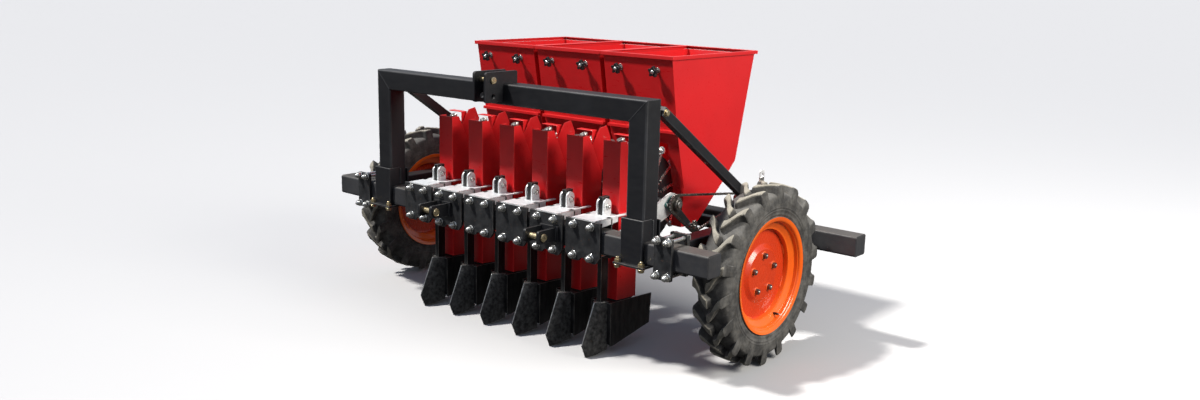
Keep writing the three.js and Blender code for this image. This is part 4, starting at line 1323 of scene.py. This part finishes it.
def wheel(name, side):
    """A wheel: rim and disc, five studs with cone nuts, hub, and on the left its sprocket."""
    low = span(f"wheel_{name}")[0]
    shape = Shape()
    rim(shape)
    inner_end = (low.x - WHEEL_X) if side > 0 else -60
    hub = [
        (inner_end, 21.5), (inner_end, 40), (inner_end + 2, 42), (-8, 42), (-4, 48), (16, 48),
        (17, 46), (17, 21.5),
    ]
    shape.add(BLACK, lathe("x", hub, (0, 0), 40))
    for k in range(5):
        angle = math.tau * (k / 5 + 0.25)
        at = (STUD_CIRCLE / 2 * math.cos(angle), STUD_CIRCLE / 2 * math.sin(angle))
        # Stud washers in the lighter orange, whose lightness is a painted highlight.
        shape.add(ORANGE_WORN_HIGHLIGHT_EDGE, ring("x", 6, 16, 22, 23.6, at, 24, 1))
        shape.add(OILED, hexagon("x", 19, 23, 35, at))
        shape.add(BARE, dome("x", 5.6, 34, 39, at))
    if side > 0:
        x = middle("wheel_chain").x - WHEEL_X
        shape.add(OILED, sprocket(TEETH["wheel"], x, (0, 0), WHEEL_RUN.phase(0)))
    shape.place(f"wheel_{name}", "orange_paint", wheel_place(side))


LUGS = 18


def tyre(name, side):
    """A traction tyre: ribbed carcass open at its beads, and two staggered rows of curved lugs."""
    outside = [
        (54, 206), (58, 209), (59.5, 216), (57.5, 219), (58.5, 222), (61, 225), (61.5, 229),
        (60.5, 232), (61.6, 236), (63.4, 240), (64.4, 243), (63.2, 245), (63.6, 248),
        (65.2, 251), (65.6, 253),
        (64.4, 255), (65, 262), (64, 278), (61.5, 291), (56, 298), (45, 303.5), (25, 309), (0, 311),
    ]
    mirror = [(-x, r) for x, r in outside[-2::-1]]
    inside = [(-44, 206), (-49, 240), (-50, 280), (0, 296), (50, 280), (49, 240), (44, 206)]
    shape = Shape()
    shape.add(RUBBER, lathe("x", outside + mirror + inside, (0, 0), 108))
    for k in range(LUGS):
        for half, turn in ((1, k), (-1, k + 0.5)):
            shape.add(RUBBER, lug(half, 360 * turn / LUGS), edge=TREAD)
    shape.place(f"tyre_{name}", "tyre_rubber", wheel_place(side))


def lug(half, turn):
    """A lug from the middle of the tread to the shoulder, wider at both ends, with a worn top."""
    def ring_at(u, top, base, flare, drop):
        share = (u + 4) / 62
        angle = turn + 8 - 12.5 * share + 1.1 * math.sin(math.tau * share)
        width = 13 + 5 * (2 * share - 1) ** 2 + flare
        shape = [(-width - 5, base), (-width - 1, top - 5), (-width + 3, top - drop), (0, top),
                 (width - 3, top - drop), (width + 1, top - 5), (width + 5, base)]
        points = []
        for s, radius in shape:
            theta = math.radians(angle) + s / 330
            points.append((half * u, radius * math.sin(theta), -radius * math.cos(theta)))
        return points

    rings = [ring_at(-8, 313, 300, -2, 1), ring_at(-5, 332, 300, -1, 1.5)]
    for u in (-2, 6, 16, 26, 36, 46, 54):
        rings.append(ring_at(u, 335.6 - 0.018 * (u / 8) ** 2, 302 - u * 0.12, 0, 1.2))
    rings += [ring_at(59, 333, 290, 0, 1.6), ring_at(62, 326, 282, -0.5, 3)]
    rings.append(ring_at(65.5, 292, 268, -3, 3))
    shell = loft(rings)
    for face in shell.faces:
        reach = [math.hypot(v.co.y, v.co.z) for v in face.verts]
        if min(reach) > 329:
            face.material_index = 1
    return shell


# ---- Assembly ----


def build():
    toolbar("front_toolbar")
    toolbar("rear_toolbar")
    mast()
    top_link_bracket()
    hopper_crossbar()
    metering_shaft()
    countershaft()
    idler()
    chain("metering_chain", METER_RUN)
    chain("wheel_chain", WHEEL_RUN)
    hitch_pin("top_link_pin", 9.5, YELLOW_ZINC, "galvanised")
    for name, side in SIDES:
        mirror = mirrored(side)
        brace().place(f"brace_{name}", "black_paint", mirror)
        member = side_member()
        if side > 0:
            counter_bearing(member)
        member.place(f"side_member_{name}", "black_paint", mirror)
        side_clamp().place(f"side_clamp_{name}", "worn_steel", mirror)
        bearing_bracket(name)
        hitch_x = middle(f"lower_hitch_{name}").x
        hitch_at = Matrix.Translation((hitch_x, 0, 0))
        lower_hitch().place(f"lower_hitch_{name}", "black_paint", hitch_at)
        hitch_pin(f"lower_hitch_pin_{name}", 11, YELLOW_ZINC, "yellow_zinc", ringed=side < 0)
        wheel(name, side)
        tyre(name, side)
    for i, name in enumerate(("left", "middle", "right")):
        hopper(f"hopper_{name}", (2 * i + 1, 2 * i + 2))
    for row in ROWS:
        at = Matrix.Translation((ROW_X[row], 0, 0))
        row_clamp().place(f"row_{row}_clamp", "galvanised", at)
        opener().place(f"row_{row}_opener", "worn_steel", at)
        chute().place(f"row_{row}_chute", "red_paint", at)
        cup_wheel().place(f"row_{row}_cup_wheel", "cup_metal", at)
        knob(row)


# ---- Studio ----


FLOOR_GREY = (0.5, 0.5, 0.505)


def ramp(tree, value, stops):
    """A colour ramp over a value, with its stops as (position, colour)."""
    made = tree.nodes.new("ShaderNodeValToRGB")
    tree.links.new(value, made.inputs[0])
    elements = made.color_ramp.elements
    while len(elements) < len(stops):
        elements.new(0.5)
    for element, (position, colour) in zip(elements, stops):
        element.position, element.color = position, rgba(colour)
    return made.outputs[0]


def studio():
    """A pale floor, a sky that is bright low down and blue high up, a key light and a soft fill."""
    half = 2000
    mesh = bpy.data.meshes.new("studio_floor")
    corners = [(*point, 0) for point in rectangle((-half, -half), (half, half))]
    mesh.from_pydata(corners, [], [(0, 1, 2, 3)])
    floor = bpy.data.objects.new("studio_floor", mesh)
    floor.location.z = -0.0005
    floor.visible_diffuse = floor.visible_glossy = False
    bpy.context.scene.collection.objects.link(floor)
    r = Recipe("studio_floor")
    mesh.materials.append(r.finish(rgba(FLOOR_GREY), 0.9, specular=0.0))

    world = bpy.data.worlds.new("studio")
    bpy.context.scene.world = world
    world.use_nodes = True
    tree = world.node_tree
    coords = tree.nodes.new("ShaderNodeTexCoord")
    parts = tree.nodes.new("ShaderNodeSeparateXYZ")
    tree.links.new(coords.outputs["Generated"], parts.inputs[0])
    height = tree.nodes.new("ShaderNodeMapRange")
    tree.links.new(parts.outputs["Z"], height.inputs["Value"])
    height.inputs["From Min"].default_value = -1
    sky = (
        (0.46, (0.16, 0.155, 0.15)), (0.505, (1.0, 1.0, 1.0)), (0.75, (0.6, 0.71, 0.93)),
        (1.0, (0.5, 0.64, 0.95)),
    )
    tree.links.new(ramp(tree, height.outputs[0], sky), tree.nodes["Background"].inputs["Color"])
    tree.nodes["Background"].inputs["Strength"].default_value = 0.45

    key = bpy.data.lights.new("key", "SUN")
    key.energy, key.angle, key.color = 5.2, math.radians(5), (1.0, 0.97, 0.92)
    lamp = bpy.data.objects.new("key", key)
    lamp.rotation_euler = Vector((0.95, 1.0, -2.07)).to_track_quat("-Z", "Y").to_euler()
    bpy.context.scene.collection.objects.link(lamp)

    fill = bpy.data.lights.new("fill", "AREA")
    fill.energy, fill.size, fill.color = 300, 2.4, (1.0, 0.95, 0.86)
    lamp = bpy.data.objects.new("fill", fill)
    lamp.location = (4.6, 0.5, 3.0)
    lamp.rotation_euler = (Vector((0, 0, 0.5)) - lamp.location).to_track_quat("-Z", "Y").to_euler()
    bpy.context.scene.collection.objects.link(lamp)


def camera():
    """The camera, three-quarters from the front and left, a little above the hoppers."""
    heading, pitch, roll = (math.radians(angle) for angle in (39.9, 12.1, 1.3))
    lens = bpy.data.cameras.new("camera")
    lens.sensor_width, lens.lens = 36, 31.446
    view = bpy.data.objects.new("camera", lens)
    level = math.cos(pitch)
    ahead = Vector((-math.sin(heading) * level, math.cos(heading) * level, -math.sin(pitch)))
    right = Vector((math.cos(heading), math.sin(heading), 0))
    up = right.cross(ahead)
    right, up = (
        right * math.cos(roll) + up * math.sin(roll),
        up * math.cos(roll) - right * math.sin(roll),
    )
    turn = Matrix((right, up, -ahead)).transposed().to_4x4()
    view.matrix_world = Matrix.Translation((2.8363, -3.2021, 1.3853)) @ turn
    bpy.context.scene.collection.objects.link(view)
    bpy.context.scene.camera = view
    bpy.context.scene.view_settings.view_transform = "Standard"


build()
studio()
camera()
